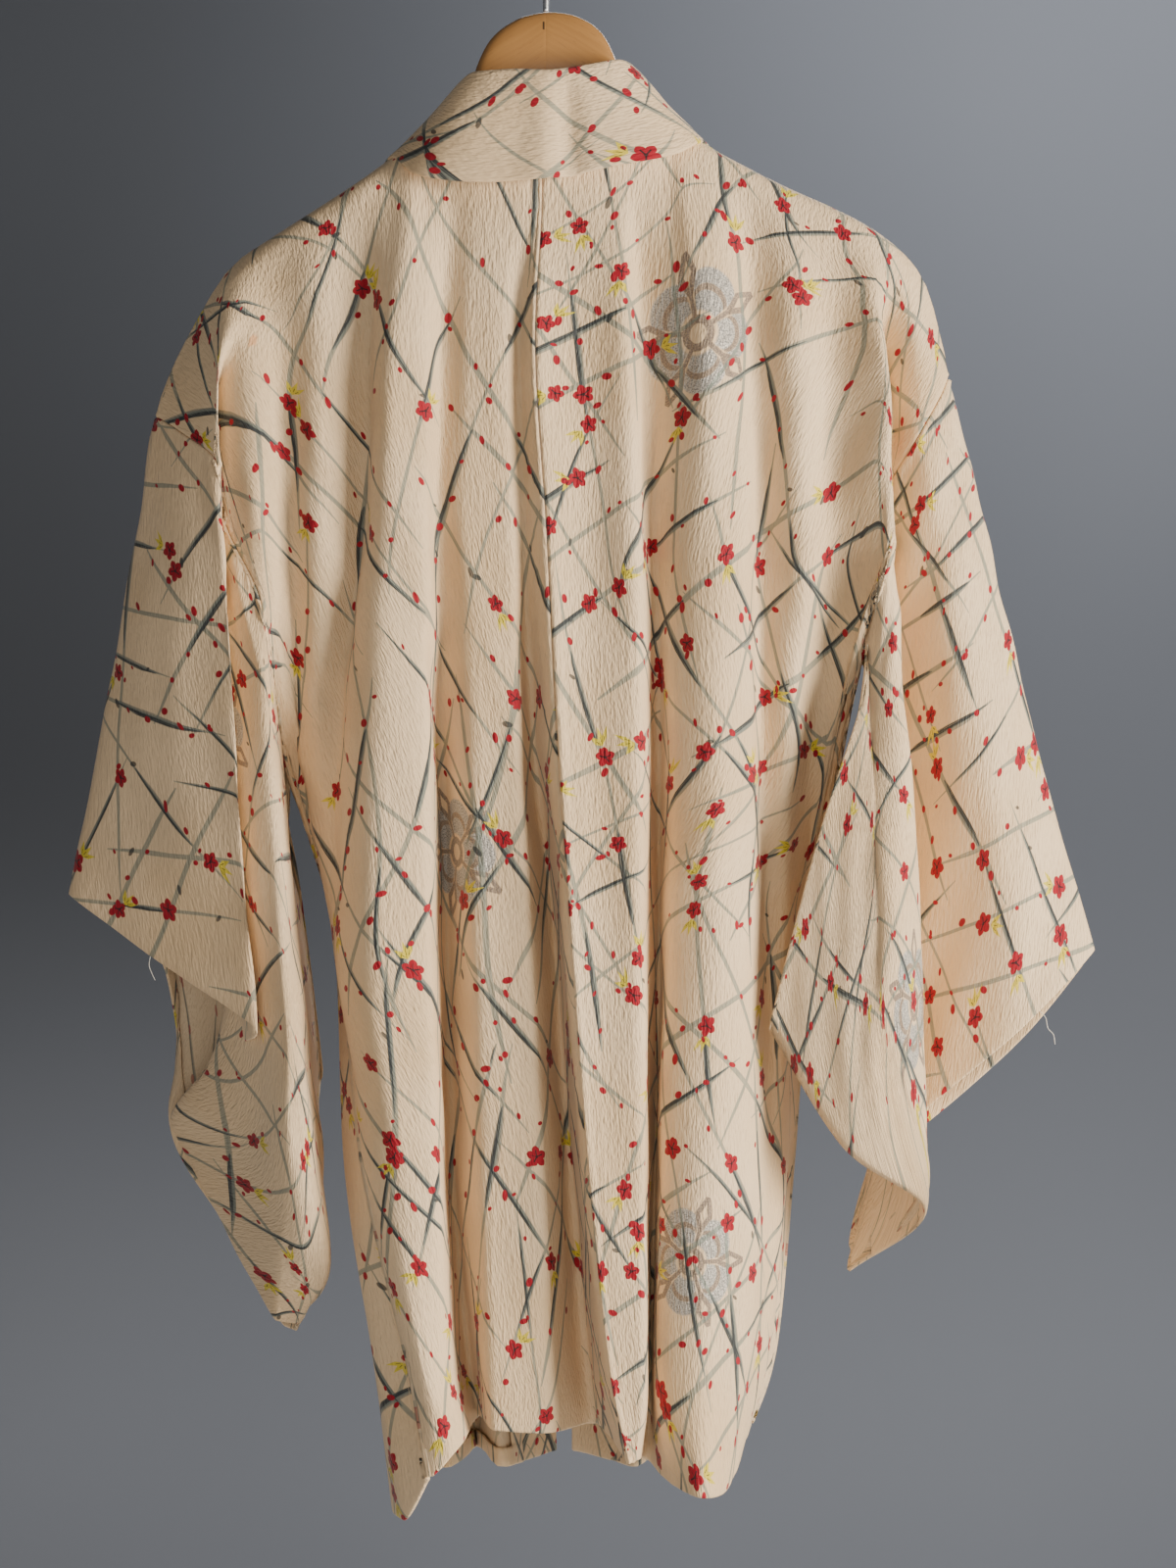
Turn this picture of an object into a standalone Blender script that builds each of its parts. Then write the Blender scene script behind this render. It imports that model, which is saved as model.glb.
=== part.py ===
"""Haori jacket hanging on a wooden coat hanger, drawn from the hanger's hook down.

The garment is seen from its back along +Y. X is the wearer's right, Y the wearer's front, Z is up.
The origin is the inside top of the hook, where a rail carries the hanger.
Tables are in millimetres: x, drop (distance below the top of the wood) and y.
Every cloth piece is one wall whose middle surface runs through its table's fold lines.
"""
import math
from collections import namedtuple

import bmesh
import bpy
import numpy as np

MM = 0.001
WOOD_TOP_DROP = 88.0        # below the inside top of the hook
CLOTH = 1.5                 # wall of every cloth piece
SEAM_GAP = 0.8             # between the edges of two sewn pieces
SHOULDER_DEPTH = 0.85         # of a fold's depth at the chest
SEAM_EASE = 1.6             # each piece runs straight across a seam this far
COLLAR_SEAM_GAP = 1.0       # the collar meets the panels at an angle
COLLAR_FOLD_RADIUS = 2.6
STATION_DROPS = (200.0, 320.0, 439.0, 558.0, 701.0, 820.0)

HANGER_TILT = 0.065         # the right arm hangs higher
HANGER_SIDES = 12
HOOK_WIRE = 3.4
HOOK_RADIUS = 21.7
HOOK_SHANK_SINK = 0.3       # clear of the wood it is screwed into
HOOK_TIP_ANGLE = -20
HOOK_NECK_ANGLE = 200
HOOK_ARC_STEPS = 23
HOOK_NECK = ((-14.5, -38.5), (-6.0, -47.0), (-1.0, -55.0), (0.0, -62.0), (0.0, -70.0))

CREAM = (0.72, 0.58, 0.45)
COLLAR_CREAM = (0.74, 0.61, 0.48)
WOOD = (0.45, 0.24, 0.10)
STEEL = (0.75, 0.75, 0.74)

# A fold line hangs from the shoulder or the neck seam to the hem.
# x is given at the top, at each station drop and at the hem, y at chest, waist, hip and hem.
Fold = namedtuple("Fold", "name x_top drop_top y_top ridge xs x_hem drop_hem y_chest y_waist y_hip y_hem")

BACK_LEFT = (
    Fold("centre seam", -2, 92, -24, 0, (-6, 1, 7, 15, 26, 39), 49, 867, -42, -66, -70, -74),
    Fold("centre trough", -12, 92, -24, 0, (-16, -13, -7, 5, 15, 25), 29, 853, -24, -14, -14, -14),
    Fold("second ridge, inner", -23, 91, -23, 0, (-25, -22, -18, -11, -4, -1), 0, 853, -36, -50, -52, -54),
    Fold("second ridge, outer", -41, 90, -22, 0, (-46, -46, -41, -39, -35, -32), -31, 851, -36,
         -50, -52, -54),
    Fold("second trough", -57, 87, -19, 0, (-61, -63, -63, -60, -56, -46), -40, 849, -24, -14, -14, -12),
    Fold("side ridge, inner", -70, 83, -12, 0.3, (-73, -73, -71, -69, -64, -57), -48, 857, -42,
         -58, -59, -52),
    Fold("side ridge, crest", -80, 81, 0, 1, (-90, -94, -98, -102, -84, -67), -53, 862, -46, -64, -64, -66),
    Fold("side ridge, outer", -98, 92, 0, 1, (-99, -106, -118, -121, -91, -70), -56, 865, -36, -38,
         -62.5, -68.5),
    Fold("shoulder trough", -112, 102, 0, 1, (-106, -110, -124, -126, -96, -72.5), -58.5, 868, -20,
         -24, -59.5, -69.5),
    Fold("shoulder ridge", -138, 119, 0, 1, (-136, -136, -137, -129, -100, -74.5), -61, 870.5, -34,
         -10, -55.8, -70),
    Fold("hanger-end trough", -166, 137, 0, 1, (-157, -153, -149, -129, -103, -76.2), -63.3, 872.5,
         -22, 1, -52, -69.8),
)
BACK_RIGHT = (
    Fold("centre dip", 24, 90, -24, 0, (24, 27, 31, 35, 42, 49), 52, 867, -36, -64, -70, -74),
    Fold("centre ridge, outer", 43, 87, -23, 0, (47, 51, 55, 55, 57, 58), 54, 866, -42, -66, -70, -74),
    Fold("dark trough", 56, 83, -20, 0, (60, 65, 68, 68, 66, 63), 61, 873, -22, -10, -10, -10),
    Fold("bright ridge, inner", 72, 77, -12, 0.3, (81, 79, 79, 76, 70, 66), 76, 884, -38, -50, -53, -56),
    Fold("bright ridge, crest", 83, 73, 0, 1, (95, 100, 101, 99, 95, 91), 92, 888, -46, -62, -67, -72),
    Fold("bright ridge, outer", 106, 86, 0, 1, (112, 119, 122, 122, 121, 114), 105, 889, -38, -46,
         -52, -58),
    Fold("waist trough", 123, 95, 0, 1, (128, 131, 131, 133, 135, 127), 115, 878, -20, -22, -26, -30),
    Fold("sixth ridge", 147, 107, 0, 1, (150, 153, 146, 143, 142, 132), 119, 871, -34, -20, -16, -12),
    Fold("seventh trough", 174, 119, 0, 1, (175, 175, 162, 151, 146, 135), 121, 868, -22, 0, 2, 5),
    Fold("seventh ridge", 200, 133, 0, 1, (200, 196, 172, 155.5, 148, 136), 123, 865, -36, 13, 14, 15),
)
FRONT_LEFT = (
    Fold("front edge", -80, 81, 0, 1, (-86, -76, -62, -48, -34, -22), -16, 886, 50, 56, 48, 40),
    Fold("front inner trough", -100, 93, 0, 1, (-96, -86, -74, -60, -44, -32), -27, 884, 26, 20, 16, 14),
    Fold("front ridge", -125, 110, 0, 1, (-112, -100, -88, -76, -60, -50), -44, 882, 52, 74, 76, 76),
    Fold("front outer trough", -150, 127, 0, 1, (-132, -118, -104, -92, -76, -64), -59, 885, 24,
         18, 16, 16),
    Fold("front side ridge", -185, 150, 0, 1, (-164, -142, -124, -110, -94, -80), -75, 892, 44, 70, 68, 66),
)
FRONT_RIGHT = (
    Fold("front edge", 83, 73, 0, 1, (90, 84, 76, 68, 60, 52), 45, 886, 50, 56, 48, 40),
    Fold("front inner trough", 104, 85, 0, 1, (102, 96, 86, 78, 68, 60), 55, 884, 26, 20, 16, 14),
    Fold("front ridge", 130, 99, 0, 1, (124, 114, 104, 96, 86, 78), 73, 882, 54, 78, 80, 80),
    Fold("front outer trough", 157, 112, 0, 1, (148, 134, 122, 112, 104, 94), 86, 884, 24, 22, 22, 22),
    Fold("front side ridge", 192, 129, 0, 1, (178, 166, 154, 140, 124, 112), 102, 884, 46, 82, 86, 84),
)

# Fold lines that leave the shoulder beyond the hanger's end, and the armhole edges: (row, x, drop, y).
Route = namedtuple("Route", "name points")
BACK_LEFT_SIDE = (
    Route("hanger end", ((0, -190, 154, 0), (0.15, -189, 164, -13), (1, -180, 204, -28),
                         (2, -166, 322, -36), (3, -151.5, 430, -13), (4, -128.5, 556, 8),
                         (5, -105.2, 700, -48.5),
                         (6, -77.6, 820, -58.9), (7, -65.4, 874.5, -69.2))),
    Route("sleeve crease", ((0, -211, 186, 0), (0.25, -205, 198, -14), (0.7, -196, 222, -34),
                            (1.1, -199, 238, -16), (1.8, -173, 304, -38), (2.5, -161, 380, -30),
                            (3, -155.5, 435, -13), (4, -128, 557, 12.5), (5, -107, 699, -45),
                            (6, -78.8, 820, -56.6), (7, -67.3, 876, -68.2))),
    Route("armhole and side seam", ((0, -237, 245, 0), (0.25, -222, 255, -14), (0.7, -196, 278, -36),
                                    (1.1, -194, 303, -29), (2, -169, 363, -40), (3, -160, 440, -13),
                                    (4, -127.4, 558, 17), (5, -108.2, 698, -41.6), (6, -79.8, 820, -54.3),
                                    (7, -69, 877.5, -67))),
)
BACK_RIGHT_SIDE = (
    Route("sleeve crease", ((0, 228, 161, 0), (0.3, 220, 182, -12), (0.6, 206, 212, 4),
                            (1.1, 207, 245, -34), (2, 203, 328, -40), (3, 189, 372, -38),
                            (4, 159, 557, 21), (5, 149.5, 701, 21),
                            (6, 137.5, 820, 21), (7, 124.5, 862, 22))),
    Route("armhole and side seam", ((0, 245, 220, 0), (0.15, 241, 230, -7), (0.45, 227, 255, -13),
                                    (0.9, 207, 293, 4),
                                    (1.6, 209, 319, -36), (2, 203, 339, -42), (3, 192, 380, -34),
                                    (4, 162, 558, 30), (5, 151, 702, 28), (6, 139, 820, 28),
                                    (7, 126, 860, 30))),
)
FRONT_LEFT_SIDE = (
    Route("armhole and side seam", ((0, -237, 245, 0), (0.25, -226, 270, 12), (1, -215, 306, 22),
                                    (1.5, -199, 348, 30), (2, -184, 384, 34), (3, -154, 452, 16),
                                    (4, -129, 559, 44), (5, -117, 702, 24), (6, -103, 820, 2),
                                    (7, -93, 906, -2))),
)
FRONT_RIGHT_SIDE = (
    Route("armhole and side seam", ((0, 245, 220, 0), (0.15, 241, 232, 6), (0.25, 237, 243, 10),
                                    (1, 226, 271, 18),
                                    (1.5, 215, 300, 24), (2, 205, 333, 26), (3, 192, 388, 10),
                                    (4, 158, 560, 58), (5, 145, 702, 62), (6, 129, 820, 60),
                                    (7, 114, 880, 58))),
)
GUSSET_LEFT_MIDDLE = Route("gusset middle", ((3, -160, 450, 2), (4, -131, 559, 31), (5, -121, 700, -10),
                                             (6, -101, 820, -40), (7, -85, 906, -46)))
GUSSET_RIGHT_MIDDLE = Route("gusset middle", ((3, 190, 390, -12), (4, 164, 559, 45), (5, 152, 702, 46),
                                              (6, 139, 820, 45), (7, 124, 872, 46)))

# A sleeve is a bag: a loop of fold lines round it, each given at the armhole edge,
# one third, two thirds and at the cuff edge. turn runs 0 to 10 once round the bag.
BagFold = namedtuple("BagFold", "name turn armhole third two_thirds cuff")
SLEEVE_LEFT = (
    BagFold("arm fold", 0.0, (-237, 245, 0), (-253, 343, 4), (-271, 439, 8), (-291, 535, 12)),
    BagFold("outer face", 0.35, (-216, 261, -26), (-220, 375, -34), (-226, 480, -32), (-240, 570, -16)),
    BagFold("pleat edge", 0.7, (-196, 278, -36), (-187, 390, -50), (-180, 503, -56), (-171, 615, -50)),
    BagFold("pleat root", 1.1, (-193.5, 303, -29), (-199, 410, -24), (-194, 521, -24), (-186, 626, -8)),
    BagFold("cuff rim", 1.35, (-194, 320, -24), (-191, 436, -32), (-185, 557, -30), (-208, 654, 28)),
    BagFold("cuff corner", 1.6, (-184, 339, -32), (-179, 468, -42), (-173, 609, -36), (-234, 678, 60)),
    BagFold("sewn edge", 1.8, (-176, 351, -37), (-170, 492, -50), (-161, 641, -48), (-199, 739, 34)),
    BagFold("taut ridge", 2.0, (-169, 363, -40), (-160, 515, -56), (-151, 669, -58), (-163, 792, -9)),
    BagFold("inner fold", 3.0, (-168, 462, -15), (-144, 605, -30), (-131, 754, -26), (-149, 795, -8)),
    BagFold("back open edge", 4.0, (-150, 547, 22), (-141, 639, 18), (-137, 748, -4), (-150, 797, -6)),
    BagFold("bottom", 5.0, (-141, 651, 68), (-144, 705, 45), (-143, 768, 10), (-151, 799, -3)),
    BagFold("front open edge", 6.0, (-152, 547, 50), (-155, 639, 58), (-161, 734, 32), (-158, 797, 1)),
    BagFold("front underarm", 7.0, (-164, 466, 20), (-165, 541, 42), (-179, 669, 56), (-198, 739, 38)),
    BagFold("front cuff corner", 8.0, (-184, 384, 34), (-194, 475, 50), (-209, 603, 68), (-234, 677, 64)),
    BagFold("front cuff", 8.6, (-199, 348, 30), (-212, 435, 44), (-225, 560, 66), (-231, 637, 74)),
    BagFold("front face", 9.2, (-215, 306, 22), (-231, 393, 30), (-243, 508, 46), (-239, 581, 60)),
)
SLEEVE_RIGHT = (
    BagFold("arm fold", 0.0, (245, 220, 0), (271, 328, 4), (300, 448, 8), (334, 569, 10)),
    BagFold("outer face", 0.45, (227, 255, -12), (248, 365, -14), (271, 489, -14), (293, 611, -6)),
    BagFold("pleat root", 0.9, (207, 293, 4), (214, 421, 14), (223, 547, 22), (234, 665, 20)),
    BagFold("pleat return", 1.3, (207, 306, -14), (208, 456, 14), (215, 595, 26), (204, 698, 36)),
    BagFold("pleat edge", 1.6, (209, 319, -36), (215, 483, -8), (221, 639, 16), (196, 719, 38)),
    BagFold("flap fold", 2.0, (203, 339, -42), (221, 505, -46), (227, 676, -14), (191, 739, 38)),
    BagFold("flap face", 3.0, (195, 396, -43), (202, 584, -66), (229, 697, -36), (189, 751, 37)),
    BagFold("back open edge", 4.0, (163, 498, -50), (189, 636, -66), (229, 711, -40), (188, 761, 36)),
    BagFold("bottom", 5.0, (133, 613, -50), (178, 685, -58), (227, 725, -36), (187, 768, 33)),
    BagFold("front open edge", 6.0, (167, 498, -30), (191, 614, -46), (222, 693, -20), (189, 753, 29)),
    BagFold("front open edge, upper", 6.6, (200, 430, -8), (201, 550, -36), (218, 662, -4), (191, 738, 28)),
    BagFold("front underarm", 7.0, (199, 400, 6), (207, 521, -26), (213, 635, 4), (194, 724, 28)),
    BagFold("front root", 8.0, (205, 333, 26), (200, 462, 30), (207, 580, 40), (205, 697, 28)),
    BagFold("front return", 8.5, (215, 300, 24), (222, 426, 38), (232, 553, 44), (237, 674, 36)),
    BagFold("front face", 9.2, (226, 271, 18), (257, 372, 24), (280, 499, 28), (295, 620, 24)),
)

# The collar is folded in half along its length. walk runs from the left hem (-8) by the
# left end of the neck (-1), the centre back (0) and the right end of the neck (1) to the right hem (8).
CollarSection = namedtuple("CollarSection", "walk fold fall")
COLLAR = (
    CollarSection(-8.0, (6, 885, 78), (-44, 884, 90)),
    CollarSection(-6.0, (2, 701, 76), (-54, 700, 92)),
    CollarSection(-5.0, (-4, 558, 74), (-66, 558, 90)),
    CollarSection(-3.0, (-26, 320, 70), (-90, 320, 80)),
    CollarSection(-2.0, (-40, 200, 60), (-102, 204, 66)),
    CollarSection(-1.35, (-49, 100, 40), (-106, 118, 30)),
    CollarSection(-1.0, (-50, 47, 6), (-92, 80.5, -4)),
    CollarSection(-0.7, (-40, 40, -22), (-76, 102, -34)),
    CollarSection(-0.35, (-22, 40, -29), (-38, 107, -42)),
    CollarSection(0.0, (0, 41, -31), (2, 105, -44)),
    CollarSection(0.35, (24, 37, -29), (38, 98, -42)),
    CollarSection(0.7, (44, 33, -22), (78, 89, -34)),
    CollarSection(1.0, (54, 40, 6), (95, 74, -2)),
    CollarSection(1.35, (54, 92, 40), (109, 108, 30)),
    CollarSection(2.0, (46, 200, 60), (107, 204, 66)),
    CollarSection(3.0, (36, 320, 70), (98, 320, 80)),
    CollarSection(5.0, (22, 558, 74), (84, 558, 90)),
    CollarSection(6.0, (18, 701, 76), (74, 700, 92)),
    CollarSection(8.0, (16, 885, 78), (66, 884, 90)),
)

# Rows from the shoulder (0) by the underarm (3) to the hem (7).
BODY_ROWS = (0, 0.06, 0.15, 0.3, 0.5, 0.7, 0.9, 1.1, 1.35, 1.6, 1.8, 2, 2.35, 2.7, 3,
             3.35, 3.7, 4, 4.35, 4.7, 5, 5.35, 5.7, 6, 6.4, 7)
UNDERARM_ROW = 3
UNDERARM_SPAN = 0.8           # rows over which the seam's direction turns there
HEM_ROW = 7
SMALL_ROW_STEP = 0.03
OPEN_FADE = 0.35              # turns from the underarm to the free edge of the sleeve
# Turns down a sleeve's open inner edge, round its bottom corner and up again.
OPEN_TURNS = (3.35, 3.7, 4, 4.4, 4.75, 4.93, 5, 5.07, 5.25, 5.6, 6, 6.5)
SLEEVE_STEPS = 12
COLLAR_STEPS = 52
COLLAR_NECK_CROWDING = 1.9    # more rings round the neck than down the fronts
GUSSET_TOP_ROW_GAP = 0.08


def pchip(knots, values, at):
    """Shape-keeping cubic through values at knots, so a ridge stays the highest line of its fold."""
    knots = np.asarray(knots, float)
    values = np.asarray(values, float)
    at = np.asarray(at, float)
    trailing = (1,) * (values.ndim - 1)
    h = np.diff(knots).reshape((-1,) + trailing)
    rise = np.diff(values, axis=0) / h
    slope = np.zeros_like(values)
    before, after = rise[:-1], rise[1:]
    w1 = 2 * h[1:] + h[:-1]
    w2 = h[1:] + 2 * h[:-1]
    same = before * after > 0
    harmonic = (w1 + w2) / (w1 / np.where(same, before, 1) + w2 / np.where(same, after, 1))
    slope[1:-1] = np.where(same, harmonic, 0)
    slope[0] = rise[0]
    slope[-1] = rise[-1]
    cell = np.clip(np.searchsorted(knots, at, side="right") - 1, 0, len(knots) - 2)
    step = h[cell]
    f = ((at - knots[cell]) / h.reshape(-1)[cell]).reshape((-1,) + trailing)
    f2, f3 = f * f, f * f * f
    return ((2 * f3 - 3 * f2 + 1) * values[cell] + (f3 - 2 * f2 + f) * step * slope[cell]
            + (3 * f2 - 2 * f3) * values[cell + 1] + (f3 - f2) * step * slope[cell + 1])


def smooth(value):
    """Smoothstep of a value already between 0 and 1."""
    value = np.clip(value, 0, 1)
    return value * value * (3 - 2 * value)


def fold_points(fold, rows, facing):
    """A hanging fold line at the given rows; facing is -1 for the back and 1 for the front."""
    over = fold.ridge
    tops = ((0, fold.x_top, fold.drop_top, fold.y_top),
            (0.06, fold.x_top, fold.drop_top + 6 - 3 * over, fold.y_top + facing * 8 * over),
            (0.2, fold.x_top, fold.drop_top + 20 - 6 * over, fold.y_top + facing * 14 * over))
    chest, waist, hip, hem = fold.y_chest, fold.y_waist, fold.y_hip, fold.y_hem
    depths = (chest * SHOULDER_DEPTH, chest, 0.5 * (chest + waist), waist, hip, 0.5 * (hip + hem))
    stations = [(row, x, drop, y) for row, (x, drop, y)
                in enumerate(zip(fold.xs, STATION_DROPS, depths), start=1)]
    table = np.array([*tops, *stations, (HEM_ROW, fold.x_hem, fold.drop_hem, hem)], float)
    return pchip(table[:, 0], table[:, 1:], rows)


def route_points(route, rows):
    """A line given by its own points, at the given rows."""
    table = np.array(route.points, float)
    return pchip(table[:, 0], table[:, 1:], rows)


def bag_rings(side, turns):
    """A sleeve's table read at the given turns: the armhole, third, two thirds and cuff points."""
    folds = SLEEVE_LEFT if side == "left" else SLEEVE_RIGHT
    rings = np.array([[fold.armhole, fold.third, fold.two_thirds, fold.cuff] for fold in folds], float)
    knots = np.array([fold.turn for fold in folds])
    around = np.concatenate((knots[-2:] - 10, knots, knots[:3] + 10))
    looped = np.concatenate((rings[-2:], rings, rings[:3]))
    return pchip(around, looped, turns)


def beyond_edge(side, rows, turns):
    """What the body's outer edge runs on into: the sleeve above the underarm, the gusset below it."""
    rows = np.asarray(rows, float)
    gusset_rows = np.maximum(rows, UNDERARM_ROW)
    middle = route_points(GUSSET_LEFT_MIDDLE if side == "left" else GUSSET_RIGHT_MIDDLE, gusset_rows)
    third = bag_rings(side, turns)[:, 1]
    return np.where(rows[:, None] < UNDERARM_ROW, third, middle)


def front_turns(side, rows):
    """The sleeve's turn that meets each row of a front's armhole edge."""
    return np.interp(rows, (0, 1, 1.5, 2, 3), (10, 9.2, 8.6 if side == "left" else 8.5, 8, 7))


def armhole_rows(side, turns):
    """The row of a front's armhole edge that meets each of the sleeve's turns."""
    return np.interp(turns, front_turns(side, (3, 2, 1.5, 1, 0)), (3, 2, 1.5, 1, 0))


def back_lines(rows):
    """Every fold line of the back from the left side seam to the right one, and what each edge meets."""
    left = [fold_points(fold, rows, -1) for fold in BACK_LEFT]
    left += [route_points(route, rows) for route in BACK_LEFT_SIDE]
    left.append(beyond_edge("left", rows, np.clip(rows, 0, UNDERARM_ROW)))
    right = [fold_points(fold, rows, -1) for fold in BACK_RIGHT]
    right += [route_points(route, rows) for route in BACK_RIGHT_SIDE]
    right.append(beyond_edge("right", rows, np.clip(rows, 0, UNDERARM_ROW)))
    return np.array(left[::-1] + right)


def back_surface(columns, rows):
    """Points of the back: column 0 is the centre seam, negative columns are on the left."""
    left_count = len(BACK_LEFT) + len(BACK_LEFT_SIDE)
    lines = back_lines(rows)
    knots = np.arange(len(lines)) - left_count
    return pchip(knots, lines, columns)


NEAR_STEP = 0.15              # of a sleeve's length and a gusset's width: next to the seam
NEAR_FRACTION = 1 / 6
BACK_LEFT_EDGE = -(len(BACK_LEFT) + len(BACK_LEFT_SIDE) - 1)
BACK_RIGHT_EDGE = len(BACK_RIGHT) + len(BACK_RIGHT_SIDE)
NECK_LEFT = -6
NECK_RIGHT = 5


def front_surface(side, fractions, rows):
    """Points of one front: fraction 0 is its front edge and 1 its armhole and side seam."""
    folds, routes, neck, edge = {
        "left": (FRONT_LEFT, FRONT_LEFT_SIDE, NECK_LEFT, BACK_LEFT_EDGE),
        "right": (FRONT_RIGHT, FRONT_RIGHT_SIDE, NECK_RIGHT, BACK_RIGHT_EDGE),
    }[side]
    rows_from_top = np.concatenate(([0.0], rows))
    lines = [fold_points(fold, rows_from_top, 1) for fold in folds]
    lines += [route_points(route, rows_from_top) for route in routes]
    lines.append(beyond_edge(side, rows_from_top, front_turns(side, rows_from_top)))
    knots = np.arange(len(lines)) / (len(lines) - 2)
    points = pchip(knots, np.array(lines), fractions)
    shoulder = back_surface(neck + (edge - neck) * np.asarray(fractions, float), np.array([0.0]))
    fade = 1 - smooth(np.asarray(rows, float))
    return points[:, 1:] + (shoulder - points[:, :1]) * fade[None, :, None]


def gusset_surface(side, fractions, rows):
    """Points of one side gusset, from the back's side seam (0) to the front's (1)."""
    left = side == "left"
    edge = BACK_LEFT_EDGE if left else BACK_RIGHT_EDGE
    inward = 1 if left else -1
    back = back_surface(np.array([edge + inward, edge]), rows)
    front = front_surface(side, np.array([1.0, 1 - 1 / len(FRONT_LEFT)]), rows)
    middle = route_points(GUSSET_LEFT_MIDDLE if left else GUSSET_RIGHT_MIDDLE, rows)
    lines = np.array([back[0], back[1], middle, front[0], front[1]])
    return pchip((-0.5, 0, 0.5, 1, 1.5), lines, fractions)


def armhole(side, turns):
    """The body's edge that a sleeve is sewn to, by the sleeve's turn: 0 to 3 back, 7 to 10 front."""
    turns = np.asarray(turns, float)
    edge = BACK_LEFT_EDGE if side == "left" else BACK_RIGHT_EDGE
    back = back_surface(np.array([float(edge)]), np.clip(turns, 0, 3))[0]
    front_rows = armhole_rows(side, turns)
    front = front_surface(side, np.array([1.0]), front_rows)[0]
    return np.where(turns[:, None] < 5, back, front)


def inside_armhole(side, turns):
    """The body's own line one fold inside the armhole, by the sleeve's turn."""
    turns = np.asarray(turns, float)
    inner = BACK_LEFT_EDGE + 1 if side == "left" else BACK_RIGHT_EDGE - 1
    back = back_surface(np.array([float(inner)]), np.clip(turns, 0, 3))[0]
    front_rows = armhole_rows(side, turns)
    front = front_surface(side, np.array([1 - 1 / len(FRONT_LEFT)]), front_rows)[0]
    return np.where(turns[:, None] < 5, back, front)


def sleeve_surface(side, turns, steps):
    """Points of one sleeve: turn runs round the bag, step runs 0 to 3 from the armhole to the cuff."""
    turns = np.asarray(turns, float)
    bag = bag_rings(side, turns)
    sewn = sewn_share(turns)[:, None]
    edge = bag[:, 0] + (armhole(side, turns) - bag[:, 0]) * sewn
    straight_on = edge + (edge - bag[:, 1]) / 3
    body = straight_on + (inside_armhole(side, turns) - straight_on) * sewn
    lines = np.stack((body, edge, bag[:, 1], bag[:, 2], bag[:, 3]))
    return pchip((-1, 0, 1, 2, 3), lines, steps).transpose(1, 0, 2)


def sewn_share(turns):
    """1 where a sleeve is sewn to the armhole, falling to 0 along its open inner edge."""
    turns = np.asarray(turns, float)
    away = np.where(turns < 5, turns - 3, 7 - turns)
    return 1 - smooth(away / OPEN_FADE)


def unit(vectors):
    """Vectors of length one."""
    return vectors / np.linalg.norm(vectors, axis=-1, keepdims=True)


def seam_direction(rows, edge_at, inside, above, below):
    """Directions across an edge, square to it, turning from the sleeve's to the gusset's."""
    share = smooth((rows - UNDERARM_ROW) / UNDERARM_SPAN + 0.5)[:, None]
    edge = edge_at(rows)
    outward = unit(above - edge) * (1 - share) + unit(below - edge) * share
    across = unit(edge - inside) + unit(outward)
    before = np.maximum(rows - SMALL_ROW_STEP, 0)
    after = np.minimum(rows + SMALL_ROW_STEP, HEM_ROW)
    along = unit(edge_at(after) - edge_at(before))
    return unit(across - along * np.sum(across * along, axis=-1, keepdims=True))


def across_back_edge(side, rows):
    """Directions outward across the back's outer edge, square to its seams."""
    rows = np.asarray(rows, float)
    edge = BACK_LEFT_EDGE if side == "left" else BACK_RIGHT_EDGE
    inside = back_surface((edge - math.copysign(0.5, edge),), rows)[0]
    sleeve_side = sleeve_surface(side, np.minimum(rows, UNDERARM_ROW), (NEAR_STEP,))[:, 0]
    gusset_side = gusset_surface(side, (NEAR_FRACTION,), np.maximum(rows, UNDERARM_ROW))[0]
    return seam_direction(rows, lambda at: back_surface((edge,), at)[0],
                          inside, sleeve_side, gusset_side)


def across_front_edge(side, rows):
    """Directions outward across a front's outer edge, square to its seams."""
    rows = np.asarray(rows, float)
    inside = front_surface(side, (1 - 0.5 / len(FRONT_LEFT),), rows)[0]
    sleeve_side = sleeve_surface(side, front_turns(side, rows), (NEAR_STEP,))[:, 0]
    gusset_side = gusset_surface(side, (1 - NEAR_FRACTION,), np.maximum(rows, UNDERARM_ROW))[0]
    return seam_direction(rows, lambda at: front_surface(side, (1.0,), at)[0],
                          inside, sleeve_side, gusset_side)


def neck_edge(walk):
    """The panels' edge that the collar is sewn to, at one place of the collar's walk."""
    side = "left" if walk < 0 else "right"
    if abs(walk) >= 1:
        return front_surface(side, np.array([0.0]), np.array([abs(walk) - 1.0]))[0, 0]
    column = abs(walk) * (NECK_LEFT if walk < 0 else NECK_RIGHT)
    return back_surface(np.array([column]), np.array([0.0]))[0, 0]


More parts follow.
